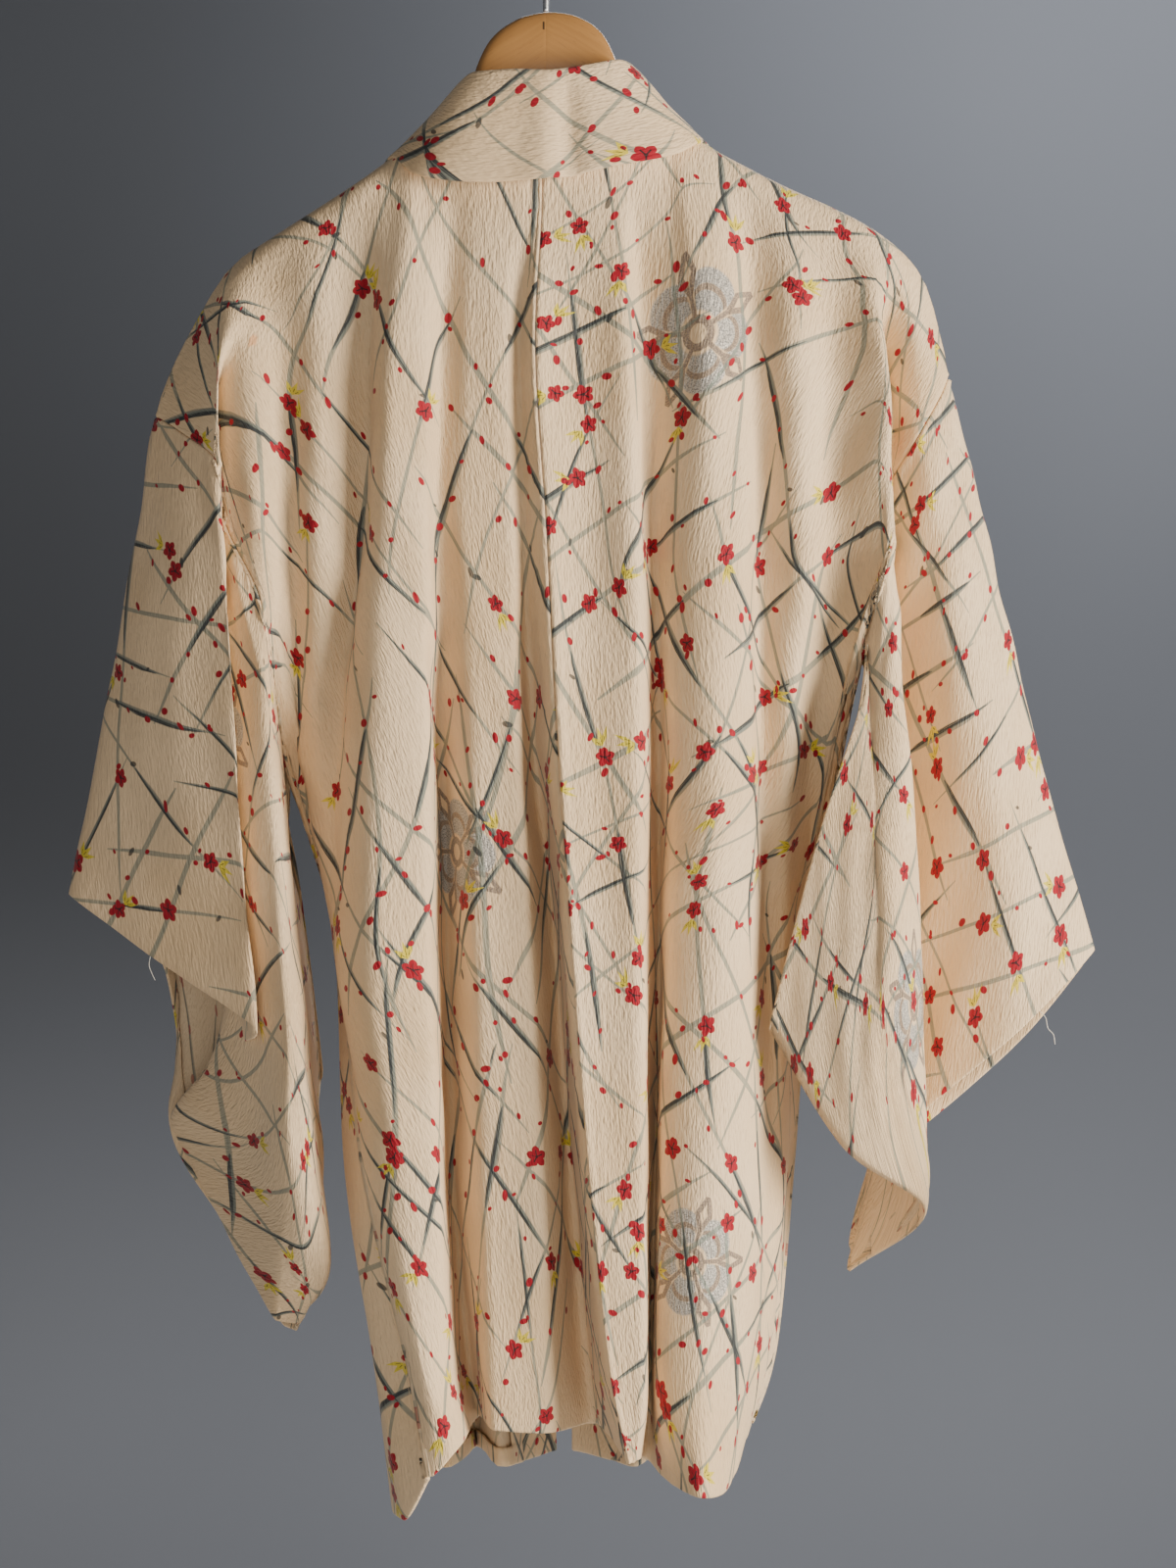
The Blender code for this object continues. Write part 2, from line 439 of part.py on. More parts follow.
def collar_surface(walks):
    """Rings of the folded collar: sewn edge, stand, round fold, fall and its free edge."""
    knots = [section.walk for section in COLLAR]
    folds = pchip(knots, np.array([section.fold for section in COLLAR], float), walks)
    falls = pchip(knots, np.array([section.fall for section in COLLAR], float), walks)
    sewn = np.array([neck_edge(walk) for walk in walks])
    stand = folds - sewn
    sewn = sewn + stand / np.linalg.norm(stand, axis=1)[:, None] * COLLAR_SEAM_GAP
    along = np.gradient(folds, axis=0)
    rings = []
    for edge, fold, fall, path in zip(sewn, folds, falls, along):
        rise = fold - 0.5 * (edge + fall)
        path = path / np.linalg.norm(path)
        rise = rise - path * np.dot(rise, path)
        rise = rise / np.linalg.norm(rise)
        out = np.cross(path, rise)
        if np.dot(out, fall - edge) < 0:
            out = -out
        centre = fold - rise * COLLAR_FOLD_RADIUS
        turn = [centre + COLLAR_FOLD_RADIUS * (rise * math.sin(a) - out * math.cos(a))
                for a in np.linspace(0, math.pi, 5)]
        rings.append([edge, 0.5 * (edge + turn[0]), *turn, 0.5 * (fall + turn[-1]), fall])
    return np.array(rings)


def place(points):
    """Table millimetres (x, drop, y) to metres in the part's frame."""
    points = np.asarray(points, float)
    out = np.empty_like(points)
    out[..., 0] = points[..., 0] * MM
    out[..., 1] = points[..., 2] * MM
    out[..., 2] = -(points[..., 1] + WOOD_TOP_DROP) * MM
    return out


def material(name, colour, roughness, metallic=0.0):
    """A plain finish for one piece."""
    finish = bpy.data.materials.new(name + "_finish")
    finish.use_nodes = True
    shader = finish.node_tree.nodes["Principled BSDF"]
    shader.inputs["Base Color"].default_value = (*colour, 1)
    shader.inputs["Roughness"].default_value = roughness
    shader.inputs["Metallic"].default_value = metallic
    return finish


def link(name, bm, finish):
    """Turn a bmesh into a named object with smooth faces."""
    mesh = bpy.data.meshes.new(name)
    bmesh.ops.recalc_face_normals(bm, faces=bm.faces)
    for face in bm.faces:
        face.smooth = True
    bm.to_mesh(mesh)
    bm.free()
    mesh.materials.append(finish)
    obj = bpy.data.objects.new(name, mesh)
    bpy.context.scene.collection.objects.link(obj)
    return obj


def add_sheet(bm, points):
    """Add a grid to the bmesh and move its points onto the given rows and columns of points."""
    columns, rows = points.shape[:2]
    grid = bmesh.ops.create_grid(bm, x_segments=columns - 1, y_segments=rows - 1, size=1)
    for vert in grid["verts"]:
        column = round((vert.co.x + 1) / 2 * (columns - 1))
        row = round((vert.co.y + 1) / 2 * (rows - 1))
        vert.co = points[column, row]


def cloth(name, sheets, colour=CREAM):
    """One cloth piece: its sheets joined where they meet, and thickened evenly to both sides."""
    bm = bmesh.new()
    for points in sheets:
        add_sheet(bm, place(points))
    bmesh.ops.remove_doubles(bm, verts=bm.verts, dist=1e-6)
    obj = link(name, bm, material(name, colour, 0.8))
    wall = obj.modifiers.new("Wall", "SOLIDIFY")
    wall.thickness = CLOTH * MM
    wall.offset = 0
    wall.use_even_offset = True
    wall.use_quality_normals = True
    return obj


def spaced(start, end, count):
    """Even values from start to end, with one more next to each end for the seam's ease."""
    values = np.linspace(start, end, count)
    near = (values[1] - values[0]) / 10
    return np.concatenate((values[:1], [start + near], values[1:-1], [end - near], values[-1:]))


def square_to_seam(points, edge, inward):
    """Set a piece's edge half a gap in from the seam and the line next to it straight behind."""
    seam = points[edge].copy()
    step = 1 if edge == 0 else -1
    points[edge] = seam + inward * SEAM_GAP / 2
    points[edge + step] = seam + inward * SEAM_EASE


def body_panel(side):
    """Half of the body: one length of cloth from the back hem over the shoulder to the front hem."""
    rows = np.array(BODY_ROWS, float)
    left = side == "left"
    edge = BACK_LEFT_EDGE if left else BACK_RIGHT_EDGE
    neck = NECK_LEFT if left else NECK_RIGHT
    columns = spaced(0, edge, 2 * abs(edge) + 1)
    back = back_surface(columns, rows)
    beside = back_surface((-0.5, 0.5), rows)
    square_to_seam(back, 0, unit(beside[1] - beside[0]) * math.copysign(1, edge))
    square_to_seam(back, -1, -across_back_edge(side, rows))
    shoulder = columns[abs(columns) >= abs(neck)]
    front = front_surface(side, (shoulder - neck) / (edge - neck), rows)
    square_to_seam(front, -1, -across_front_edge(side, rows))
    cloth("body_" + side, (back, front))


def gusset(side):
    """The tapered strip between back and front below the sleeve."""
    rows = np.array([row for row in BODY_ROWS if row >= UNDERARM_ROW], float)
    rows[0] += GUSSET_TOP_ROW_GAP
    strip = gusset_surface(side, spaced(0, 1, 7), rows)
    square_to_seam(strip, 0, across_back_edge(side, rows))
    square_to_seam(strip, -1, across_front_edge(side, rows))
    cloth("gusset_" + side, (strip,))


def sleeve(side):
    """A bag folded along the arm, open at the armhole, down its inner edge and at the cuff."""
    rows = np.array([row for row in BODY_ROWS if row <= UNDERARM_ROW], float)
    turns = np.concatenate((rows, OPEN_TURNS, front_turns(side, rows[:0:-1])))
    steps = np.linspace(0, 3, SLEEVE_STEPS + 1)
    bag = sleeve_surface(side, turns, np.concatenate((steps[:1], [NEAR_STEP / 5], steps[1:])))
    sewn = sewn_share(turns)[:, None]
    out = np.where(turns[:, None] < 5, across_back_edge(side, np.clip(turns, 0, UNDERARM_ROW)),
                   across_front_edge(side, armhole_rows(side, turns)))
    out = unit(out * sewn + unit(bag[:, 2] - bag[:, 0]) * (1 - sewn))
    bag = bag.transpose(1, 0, 2)
    square_to_seam(bag, 0, out)
    bag = bag.transpose(1, 0, 2)
    cloth("sleeve_" + side, (np.concatenate((bag, bag[:1])),))


def collar():
    """The long band folded outward, from one front's hem round the neck to the other's."""
    share = np.linspace(-1, 1, COLLAR_STEPS + 1)
    walks = np.sign(share) * np.abs(share) ** COLLAR_NECK_CROWDING * COLLAR[-1].walk
    cloth("collar", (collar_surface(walks),), COLLAR_CREAM)


# The wood's upper edge: distance from the middle, drop, half height and half depth of each section.
WoodSection = namedtuple("WoodSection", "x top height depth")
HANGER = (
    WoodSection(0, 0, 46, 13),
    WoodSection(12, 1.5, 45, 13),
    WoodSection(24, 6.5, 43, 13.5),
    WoodSection(34, 15, 40, 14),
    WoodSection(42, 30.5, 34, 15),
    WoodSection(47, 48, 28, 15),
    WoodSection(53, 60, 24, 15),
    WoodSection(65, 74, 22, 16),
    WoodSection(80, 86, 20, 17),
    WoodSection(92, 92, 20, 18),
    WoodSection(104, 98, 20, 19),
    WoodSection(132, 112, 19, 20),
    WoodSection(168, 131.5, 17, 20),
    WoodSection(182, 141, 14, 17),
    WoodSection(191, 150, 9, 11),
    WoodSection(195, 156, 4, 5),
)


def hanger_wood():
    """Both arms of the contoured hanger, lofted through rounded sections."""
    bm = bmesh.new()
    sections = [section._replace(x=-section.x) for section in HANGER[:0:-1]] + list(HANGER)
    rings = []
    for section in sections:
        centre_drop = section.top + section.height / 2 - HANGER_TILT * section.x
        circle = bmesh.ops.create_circle(bm, segments=HANGER_SIDES, radius=1)["verts"]
        for vert in circle:
            y = section.depth / 2 * vert.co.x
            vert.co = place((section.x, centre_drop - section.height / 2 * vert.co.y, y))
        rings.append([edge for edge in bm.edges if edge.verts[0] in circle and edge.verts[1] in circle])
    for ring, following in zip(rings, rings[1:]):
        bmesh.ops.bridge_loops(bm, edges=ring + following)
    bmesh.ops.holes_fill(bm, edges=rings[0] + rings[-1], sides=HANGER_SIDES)
    link("hanger_wood", bm, material("hanger_wood", WOOD, 0.45))


def hanger_hook():
    """The steel hook: a straight shank and an open round, with its inside top at the origin."""
    centre_z = HOOK_WIRE / 2 - HOOK_RADIUS
    arc = [(HOOK_RADIUS * math.cos(angle), centre_z + HOOK_RADIUS * math.sin(angle))
           for angle in np.radians(np.linspace(HOOK_TIP_ANGLE, HOOK_NECK_ANGLE, HOOK_ARC_STEPS))]
    foot = (0.0, HOOK_SHANK_SINK - WOOD_TOP_DROP)
    route = arc + list(HOOK_NECK) + [foot]
    curve = bpy.data.curves.new("hanger_hook", "CURVE")
    curve.dimensions = "3D"
    curve.bevel_depth = HOOK_WIRE / 2 * MM
    curve.bevel_resolution = 2
    curve.use_fill_caps = True
    spline = curve.splines.new("POLY")
    spline.points.add(len(route) - 1)
    for point, (x, z) in zip(spline.points, route):
        point.co = (x * MM, 0, z * MM, 1)
    spline.use_smooth = True
    curve.materials.append(material("hanger_hook", STEEL, 0.3, 1.0))
    obj = bpy.data.objects.new("hanger_hook", curve)
    bpy.context.scene.collection.objects.link(obj)


def main():
    """Build the hanger and every piece a maker would cut."""
    for obj in list(bpy.data.objects):
        bpy.data.objects.remove(obj, do_unlink=True)
    for side in ("left", "right"):
        body_panel(side)
        gusset(side)
        sleeve(side)
    collar()
    hanger_wood()
    hanger_hook()


main()
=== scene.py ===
"""Looks of a haori jacket on a wooden coat hanger: crepe cloth with its print, seams, hems, wood and steel.

The jacket hangs with its back to the viewer. X is the wearer's right, Y the wearer's front, Z is up.
Drape tables are in millimetres: x, drop (distance below the top of the wood) and y.
Places on the flat cloth are in metres: u across the loom width, v along the warp from the shoulder.
"""

import logging
import math
from collections.abc import Callable, Sequence
from dataclasses import dataclass
from enum import Enum

import bmesh
import bpy
import numpy as np
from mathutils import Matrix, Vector


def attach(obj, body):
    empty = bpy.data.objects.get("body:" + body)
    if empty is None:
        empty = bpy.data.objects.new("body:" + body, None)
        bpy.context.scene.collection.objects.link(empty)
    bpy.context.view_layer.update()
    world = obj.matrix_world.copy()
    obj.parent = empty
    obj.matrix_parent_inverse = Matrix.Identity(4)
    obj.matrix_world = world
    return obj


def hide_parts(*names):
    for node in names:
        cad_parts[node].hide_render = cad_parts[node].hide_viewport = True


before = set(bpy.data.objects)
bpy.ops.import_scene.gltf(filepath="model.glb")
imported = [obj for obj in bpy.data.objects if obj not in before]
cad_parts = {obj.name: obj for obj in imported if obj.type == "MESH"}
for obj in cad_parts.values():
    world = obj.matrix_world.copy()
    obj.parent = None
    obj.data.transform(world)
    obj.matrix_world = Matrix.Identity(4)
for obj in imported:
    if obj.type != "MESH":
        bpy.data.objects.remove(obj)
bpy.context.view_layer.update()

MM = 0.001
WOOD_TOP_DROP = 88.0          # mm below the inside top of the hook
STATION_DROPS = (200.0, 320.0, 439.0, 558.0, 701.0, 820.0)     # of rows 1 to 6
SHOULDER_DEPTH = 0.85         # of a fold's depth at the chest
# How the cloth rolls over the shoulder: row, drop in mm, how much less on a ridge, and a ridge's y.
SHOULDER_ROLL = ((0.0, 0, 0, 0), (0.06, 6, 3, 8), (0.2, 20, 6, 14))
UNDERARM_ROW = 3
ARMHOLE_ROWS = (0, 1, 1.5, 2, 3)     # of a front, where it meets a sleeve's lines
ROUND = 10                    # turns once round a sleeve
FRONT_UNDERARM_TURN = 7
BOTTOM_TURN = 5               # where its back becomes its front
UNDERARM_SPAN = 0.8           # rows over which the seam's direction turns there
HEM_ROW = 7
SEWN_FADE = 14.0              # mm from a seam over which creases fade
PUCKER_DEPTH = 0.22           # mm
PUCKER_REACH = 5.0            # mm from the seam to the puckers' height
PUCKER_FADE_ROWS = 1.5        # above the hem, where the hem's own fold holds a seam flat
HEM_FOLD_SHORT = 6            # of the back's lines that the hem's fold stops short of the side seam
SMALL_ROW_STEP = 0.03         # for an edge's direction
OPEN_FADE = 0.35              # turns from the underarm to the free edge of the sleeve
COLLAR_SEAM_GAP = 1.0         # mm, to the body's neck edge
COLLAR_FOLD_RADIUS = 2.6      # mm
NEAR_STEP = 0.15              # of a sleeve's third: the cloth next to the seam
NEAR_FRACTION = 1 / 6         # of a gusset's width, likewise
CLOTH_WALL = 0.7 * MM
TURN_RADIUS = 0.9             # mm, of the fold where an edge is turned under
SEAM_TRIM = 1.3               # mm from a seam to the fold of each piece
LOOM_WIDTH = 0.31             # metres, finished width of a body panel
MESH_SPACING = 3.8            # mm between the lines of a cloth piece
TRIAL_POINTS = 400            # that a curve's length is measured with
MEET = 2e-6                   # metres within which sheets join
CLOTH_MAP = "cloth"

Array = np.ndarray
Material = bpy.types.Material
Piece = bpy.types.Object
Shape = bmesh.types.BMesh


def pchip(knots: Sequence[float], values: Array, at: Sequence[float]) -> Array:
    """Shape-keeping cubic through values, so a ridge stays the highest line of its fold.

    Args:
        knots: rising parameter of each value.
        values: one row of numbers for each knot.
        at: parameters to read the curve at.

    Returns:
        One row of numbers for each parameter.
    """
    knots = np.asarray(knots, float)
    values = np.asarray(values, float)
    at = np.asarray(at, float)
    trailing = (1,) * (values.ndim - 1)
    h = np.diff(knots).reshape((-1,) + trailing)
    rise = np.diff(values, axis=0) / h
    slope = np.zeros_like(values)
    before, after = rise[:-1], rise[1:]
    w1 = 2 * h[1:] + h[:-1]
    w2 = h[1:] + 2 * h[:-1]
    same = before * after > 0
    harmonic = (w1 + w2) / (w1 / np.where(same, before, 1) + w2 / np.where(same, after, 1))
    slope[1:-1] = np.where(same, harmonic, 0)
    slope[0] = rise[0]
    slope[-1] = rise[-1]
    cell = np.clip(np.searchsorted(knots, at, side="right") - 1, 0, len(knots) - 2)
    step = h[cell]
    f = ((at - knots[cell]) / h.reshape(-1)[cell]).reshape((-1,) + trailing)
    f2, f3 = f * f, f * f * f
    return ((2 * f3 - 3 * f2 + 1) * values[cell] + (f3 - 2 * f2 + f) * step * slope[cell]
            + (3 * f2 - 2 * f3) * values[cell + 1] + (f3 - f2) * step * slope[cell + 1])


def smooth(value: Array) -> Array:
    """Smoothstep, with what lies outside 0 to 1 held at the ends."""
    value = np.clip(value, 0, 1)
    return value * value * (3 - 2 * value)


def unit(vectors: Array) -> Array:
    """Vectors of length one."""
    return vectors / np.maximum(np.linalg.norm(vectors, axis=-1, keepdims=True), 1e-9)


def place(points: Array) -> Array:
    """Table millimetres (x, drop, y) to metres in the hanger's frame."""
    return np.stack((points[..., 0], points[..., 2], -(points[..., 1] + WOOD_TOP_DROP)), axis=-1) * MM


def lengths(points: Array, axis: int = 0) -> Array:
    """Length along a grid's lines, from their first point to each point."""
    steps = np.linalg.norm(np.diff(points, axis=axis), axis=-1)
    first = np.zeros_like(np.take(steps, [0], axis=axis))
    return np.concatenate((first, np.cumsum(steps, axis=axis)), axis=axis)


def even_samples(surface: Callable[[Array], Array], start: float, end: float, spacing: float) -> Array:
    """Parameters from start to end that lie evenly along a surface.

    Args:
        surface: gives points by parameter, with the parameter first.
        start: first parameter.
        end: last parameter.
        spacing: distance between neighbours, in the surface's own units.

    Returns:
        The parameters, both ends included.
    """
    values = np.linspace(start, end, TRIAL_POINTS)
    points = surface(values)
    steps = np.linalg.norm(np.diff(points, axis=0), axis=-1).reshape(len(values) - 1, -1).mean(axis=1)
    length = np.concatenate(([0.0], np.cumsum(steps)))
    count = max(2, math.ceil(length[-1] / spacing))
    return np.interp(np.linspace(0, length[-1], count + 1), length, values)


class Side(Enum):
    """The wearer's left or right; the value is the side's sign along X."""

    LEFT = -1
    RIGHT = 1


@dataclass(frozen=True)
class Fold:
    """One hanging fold line: x at the top, at each station drop and at the hem, y at chest to hem."""

    name: str
    x_top: float
    drop_top: float
    y_top: float
    ridge: float
    xs: tuple[float, ...]
    x_hem: float
    drop_hem: float
    y_chest: float
    y_waist: float
    y_hip: float
    y_hem: float

    def at(self, rows: Array, facing: int) -> Array:
        """The fold line from the shoulder to the hem.

        Args:
            rows: down the body.
            facing: -1 for the back, 1 for the front.

        Returns:
            One point for each row.
        """
        tops = [(row, self.x_top, self.drop_top + drop - saved * self.ridge,
                 self.y_top + facing * out * self.ridge) for row, drop, saved, out in SHOULDER_ROLL]
        chest, waist, hip, hem = self.y_chest, self.y_waist, self.y_hip, self.y_hem
        depths = (chest * SHOULDER_DEPTH, chest, 0.5 * (chest + waist), waist, hip, 0.5 * (hip + hem))
        stations = [(row, *values) for row, values in enumerate(zip(self.xs, STATION_DROPS, depths), start=1)]
        knots = np.array([*tops, *stations, (HEM_ROW, self.x_hem, self.drop_hem, hem)], float)
        return pchip(knots[:, 0], knots[:, 1:], rows)


@dataclass(frozen=True)
class Route:
    """A line given by its own points: (row, x, drop, y)."""

    name: str
    points: tuple[tuple[float, float, float, float], ...]

    def at(self, rows: Array) -> Array:
        """The line at the given rows."""
        knots = np.array(self.points, float)
        return pchip(knots[:, 0], knots[:, 1:], rows)


@dataclass(frozen=True)
class BagFold:
    """A fold line of a sleeve: its turn round the bag, then armhole, third, two thirds and cuff."""

    name: str
    turn: float
    armhole: tuple[float, float, float]
    third: tuple[float, float, float]
    two_thirds: tuple[float, float, float]
    cuff: tuple[float, float, float]


@dataclass(frozen=True)
class CollarSection:
    """The collar's fold and the free edge of its fall at one place of its walk."""

    walk: float
    fold: tuple[float, float, float]
    fall: tuple[float, float, float]


@dataclass(frozen=True)
class WoodSection:
    """One section of a hanger arm: distance from the middle, drop of its top, height and depth."""

    x: float
    top: float
    height: float
    depth: float


def table(kind: type, *rows: tuple) -> tuple:
    """One object of a kind from each row of its values."""
    return tuple(kind(*row) for row in rows)


BACK_LEFT = table(
    Fold,
    ("centre seam", -2, 92, -24, 0, (-6, 1, 7, 15, 26, 39), 49, 867, -42, -66, -70, -74),
    ("centre trough", -12, 92, -24, 0, (-16, -13, -7, 5, 15, 25), 29, 853, -30, -14, -14, -14),
    ("second ridge, inner", -23, 91, -23, 0, (-25, -22, -18, -11, -4, -1), 0, 853, -36, -50, -52, -54),
    ("second ridge, outer", -41, 90, -22, 0, (-46, -46, -41, -39, -35, -32), -31, 851, -36, -50, -52, -54),
    ("second trough", -57, 87, -19, 0, (-61, -63, -63, -60, -56, -46), -40, 849, -28, -14, -14, -12),
    ("side ridge, inner", -70, 83, -12, 0.3, (-73, -73, -71, -69, -64, -57), -48, 857, -42, -58, -59, -52),
    ("side ridge, crest", -80, 81, 0, 1, (-90, -94, -98, -102, -84, -67), -53, 862, -46, -64, -64, -66),
    ("side ridge, outer", -98, 92, 0, 1, (-99, -106, -118, -121, -91, -70), -56, 865, -36, -38, -62.5, -68.5),
    ("shoulder trough", -112, 102, 0, 1, (-106, -110, -124, -126, -96, -72.5), -58.5, 868, -20, -24, -59.5,
     -69.5),
    ("shoulder ridge", -138, 119, 0, 1, (-136, -136, -137, -129, -100, -74.5), -61, 870.5, -34, -10, -55.8,
     -70),
    ("hanger-end trough", -166, 137, 0, 1, (-157, -153, -149, -129, -103, -76.2), -63.3, 872.5, -22, 1,
     -52, -69.8))
BACK_RIGHT = table(
    Fold,
    ("centre dip", 24, 90, -24, 0, (24, 27, 31, 35, 42, 49), 52, 867, -36, -64, -70, -74),
    ("centre ridge, outer", 43, 87, -23, 0, (47, 51, 55, 55, 57, 58), 54, 866, -42, -66, -70, -74),
    ("dark trough", 56, 83, -20, 0, (60, 65, 68, 68, 66, 63), 61, 873, -23, -18, -20, -24),
    ("bright ridge, inner", 72, 77, -12, 0.3, (81, 79, 79, 76, 70, 66), 76, 884, -38, -50, -53, -56),
    ("bright ridge, crest", 83, 73, 0, 1, (95, 100, 101, 99, 95, 91), 92, 888, -46, -62, -67, -72),
    ("bright ridge, outer", 106, 86, 0, 1, (112, 119, 122, 122, 121, 114), 105, 889, -38, -46, -52, -58),
    ("waist trough", 123, 95, 0, 1, (128, 131, 131, 133, 135, 127), 115, 878, -20, -22, -26, -30),
    ("sixth ridge", 147, 107, 0, 1, (150, 153, 146, 143, 142, 132), 119, 871, -34, -20, -16, -12),
    ("seventh trough", 174, 119, 0, 1, (175, 175, 162, 151, 146, 135), 121, 868, -22, 0, 2, 5),
    ("seventh ridge", 200, 133, 0, 1, (200, 196, 172, 155.5, 148, 136), 123, 865, -36, 13, 14, 15))
FRONT_LEFT = table(
    Fold,
    ("front edge", -80, 81, 0, 1, (-86, -76, -62, -48, -34, -22), -16, 886, 50, 56, 48, 40),
    ("front inner trough", -100, 93, 0, 1, (-96, -86, -74, -60, -44, -32), -27, 884, 26, 20, 16, 14),
    ("front ridge", -125, 110, 0, 1, (-112, -100, -88, -76, -60, -50), -44, 882, 52, 74, 76, 76),
    ("front outer trough", -150, 127, 0, 1, (-132, -118, -104, -92, -76, -64), -59, 885, 24, 18, 16, 16),
    ("front side ridge", -185, 150, 0, 1, (-164, -142, -124, -110, -94, -80), -75, 892, 44, 70, 68, 66))
FRONT_RIGHT = table(
    Fold,
    ("front edge", 83, 73, 0, 1, (90, 84, 76, 68, 60, 52), 45, 886, 50, 56, 48, 40),
    ("front inner trough", 104, 85, 0, 1, (102, 96, 86, 78, 68, 60), 55, 884, 26, 20, 16, 14),
    ("front ridge", 130, 99, 0, 1, (124, 114, 104, 96, 86, 78), 73, 882, 54, 78, 80, 80),
    ("front outer trough", 157, 112, 0, 1, (148, 134, 122, 112, 104, 94), 86, 884, 24, 22, 22, 22),
    ("front side ridge", 192, 129, 0, 1, (178, 166, 154, 140, 124, 112), 102, 884, 46, 82, 86, 84))
BACK_LEFT_SIDE = (
    Route("hanger end", (
        (0, -190, 154, 0), (0.15, -189, 164, -13), (1, -180, 204, -28), (2, -166, 322, -36),
        (3, -151.5, 430, -13), (4, -128.5, 556, 8), (5, -105.2, 700, -48.5), (6, -77.6, 820, -58.9),
        (7, -65.4, 874.5, -69.2))),
    Route("sleeve crease", (
        (0, -211, 186, 0), (0.25, -205, 198, -14), (0.7, -196, 222, -34), (1.1, -199, 238, -16),
        (1.8, -173, 304, -38), (2.5, -161, 380, -30), (3, -155.5, 435, -13), (4, -128, 557, 12.5),
        (5, -107, 699, -45), (6, -78.8, 820, -56.6), (7, -67.3, 876, -68.2))),
    Route("armhole and side seam", (
        (0, -237, 245, 0), (0.25, -222, 255, -14), (0.7, -196, 278, -36), (1.1, -194, 303, -29),
        (2, -169, 363, -40), (3, -160, 440, -13), (4, -127.4, 558, 17), (5, -108.2, 698, -41.6),
        (6, -79.8, 820, -54.3), (7, -69, 877.5, -67))),
)
BACK_RIGHT_SIDE = (
    Route("sleeve crease", (
        (0, 228, 161, 0), (0.3, 220, 182, -12), (0.6, 206, 212, 4), (1.1, 207, 245, -34),
        (2, 203, 328, -40), (3, 189, 372, -38), (4, 159, 557, 21), (5, 149.5, 701, 21), (6, 137.5, 820, 21),
        (7, 124.5, 862, 22))),
    Route("armhole and side seam", (
        (0, 245, 220, 0), (0.15, 241, 230, -7), (0.45, 227, 255, -13), (0.9, 207, 293, 4),
        (1.6, 209, 319, -36), (2, 203, 339, -42), (3, 192, 380, -34), (4, 162, 558, 30), (5, 151, 702, 28),
        (6, 139, 820, 28), (7, 126, 860, 30))),
)
FRONT_LEFT_SIDE = (
    Route("armhole and side seam", (
        (0, -237, 245, 0), (0.25, -226, 270, 12), (1, -215, 306, 22), (1.5, -199, 348, 30),
        (2, -184, 384, 34), (3, -154, 452, 16), (4, -129, 559, 44), (5, -117, 702, 24), (6, -103, 820, 2),
        (7, -93, 906, -2))),
)
FRONT_RIGHT_SIDE = (
    Route("armhole and side seam", (
        (0, 245, 220, 0), (0.15, 241, 232, 6), (0.25, 237, 243, 10), (1, 226, 271, 18), (1.5, 215, 300, 24),
        (2, 205, 333, 26), (3, 192, 388, 10), (4, 158, 560, 58), (5, 145, 702, 62), (6, 129, 820, 60),
        (7, 114, 880, 58))),
)
GUSSET_LEFT_MIDDLE = Route("gusset middle", (
    (3, -160, 450, 2), (4, -131, 559, 31), (5, -121, 700, -10), (6, -101, 820, -40), (7, -85, 906, -46)))
GUSSET_RIGHT_MIDDLE = Route("gusset middle", (
    (3, 190, 390, -12), (4, 164, 559, 45), (5, 152, 702, 46), (6, 139, 820, 45), (7, 124, 872, 46)))
SLEEVE_LEFT = table(
    BagFold,
    ("arm fold", 0.0, (-237, 245, 0), (-253, 343, 4), (-271, 439, 8), (-291, 535, 12)),
    ("outer face", 0.35, (-216, 261, -26), (-220, 375, -34), (-226, 480, -32), (-240, 570, -16)),
    ("pleat edge", 0.7, (-196, 278, -36), (-187, 390, -50), (-180, 503, -56), (-171, 615, -50)),
    ("pleat root", 1.1, (-193.5, 303, -29), (-199, 410, -24), (-194, 521, -24), (-186, 626, -8)),
    ("cuff rim", 1.35, (-194, 320, -24), (-191, 436, -32), (-185, 557, -30), (-208, 654, 28)),
    ("cuff corner", 1.6, (-184, 339, -32), (-179, 468, -42), (-173, 609, -36), (-234, 678, 60)),
    ("sewn edge", 1.8, (-176, 351, -37), (-170, 492, -50), (-161, 641, -48), (-199, 739, 34)),
    ("taut ridge", 2.0, (-169, 363, -40), (-160, 515, -56), (-151, 669, -58), (-163, 792, -9)),
    ("inner fold", 3.0, (-168, 462, -15), (-144, 605, -30), (-131, 754, -26), (-149, 795, -8)),
    ("back open edge", 4.0, (-150, 547, 22), (-141, 639, 18), (-137, 748, -4), (-150, 797, -6)),
    ("bottom", 5.0, (-141, 651, 68), (-144, 705, 45), (-143, 768, 10), (-151, 799, -3)),
    ("front open edge", 6.0, (-152, 547, 50), (-155, 639, 58), (-161, 734, 32), (-158, 797, 1)),
    ("front underarm", 7.0, (-164, 466, 20), (-165, 541, 42), (-179, 669, 56), (-198, 739, 38)),
    ("front cuff corner", 8.0, (-184, 384, 34), (-194, 475, 50), (-209, 603, 68), (-234, 677, 64)),
    ("front cuff", 8.6, (-199, 348, 30), (-212, 435, 44), (-225, 560, 66), (-231, 637, 74)),
    ("front face", 9.2, (-215, 306, 22), (-231, 393, 30), (-243, 508, 46), (-239, 581, 60)))
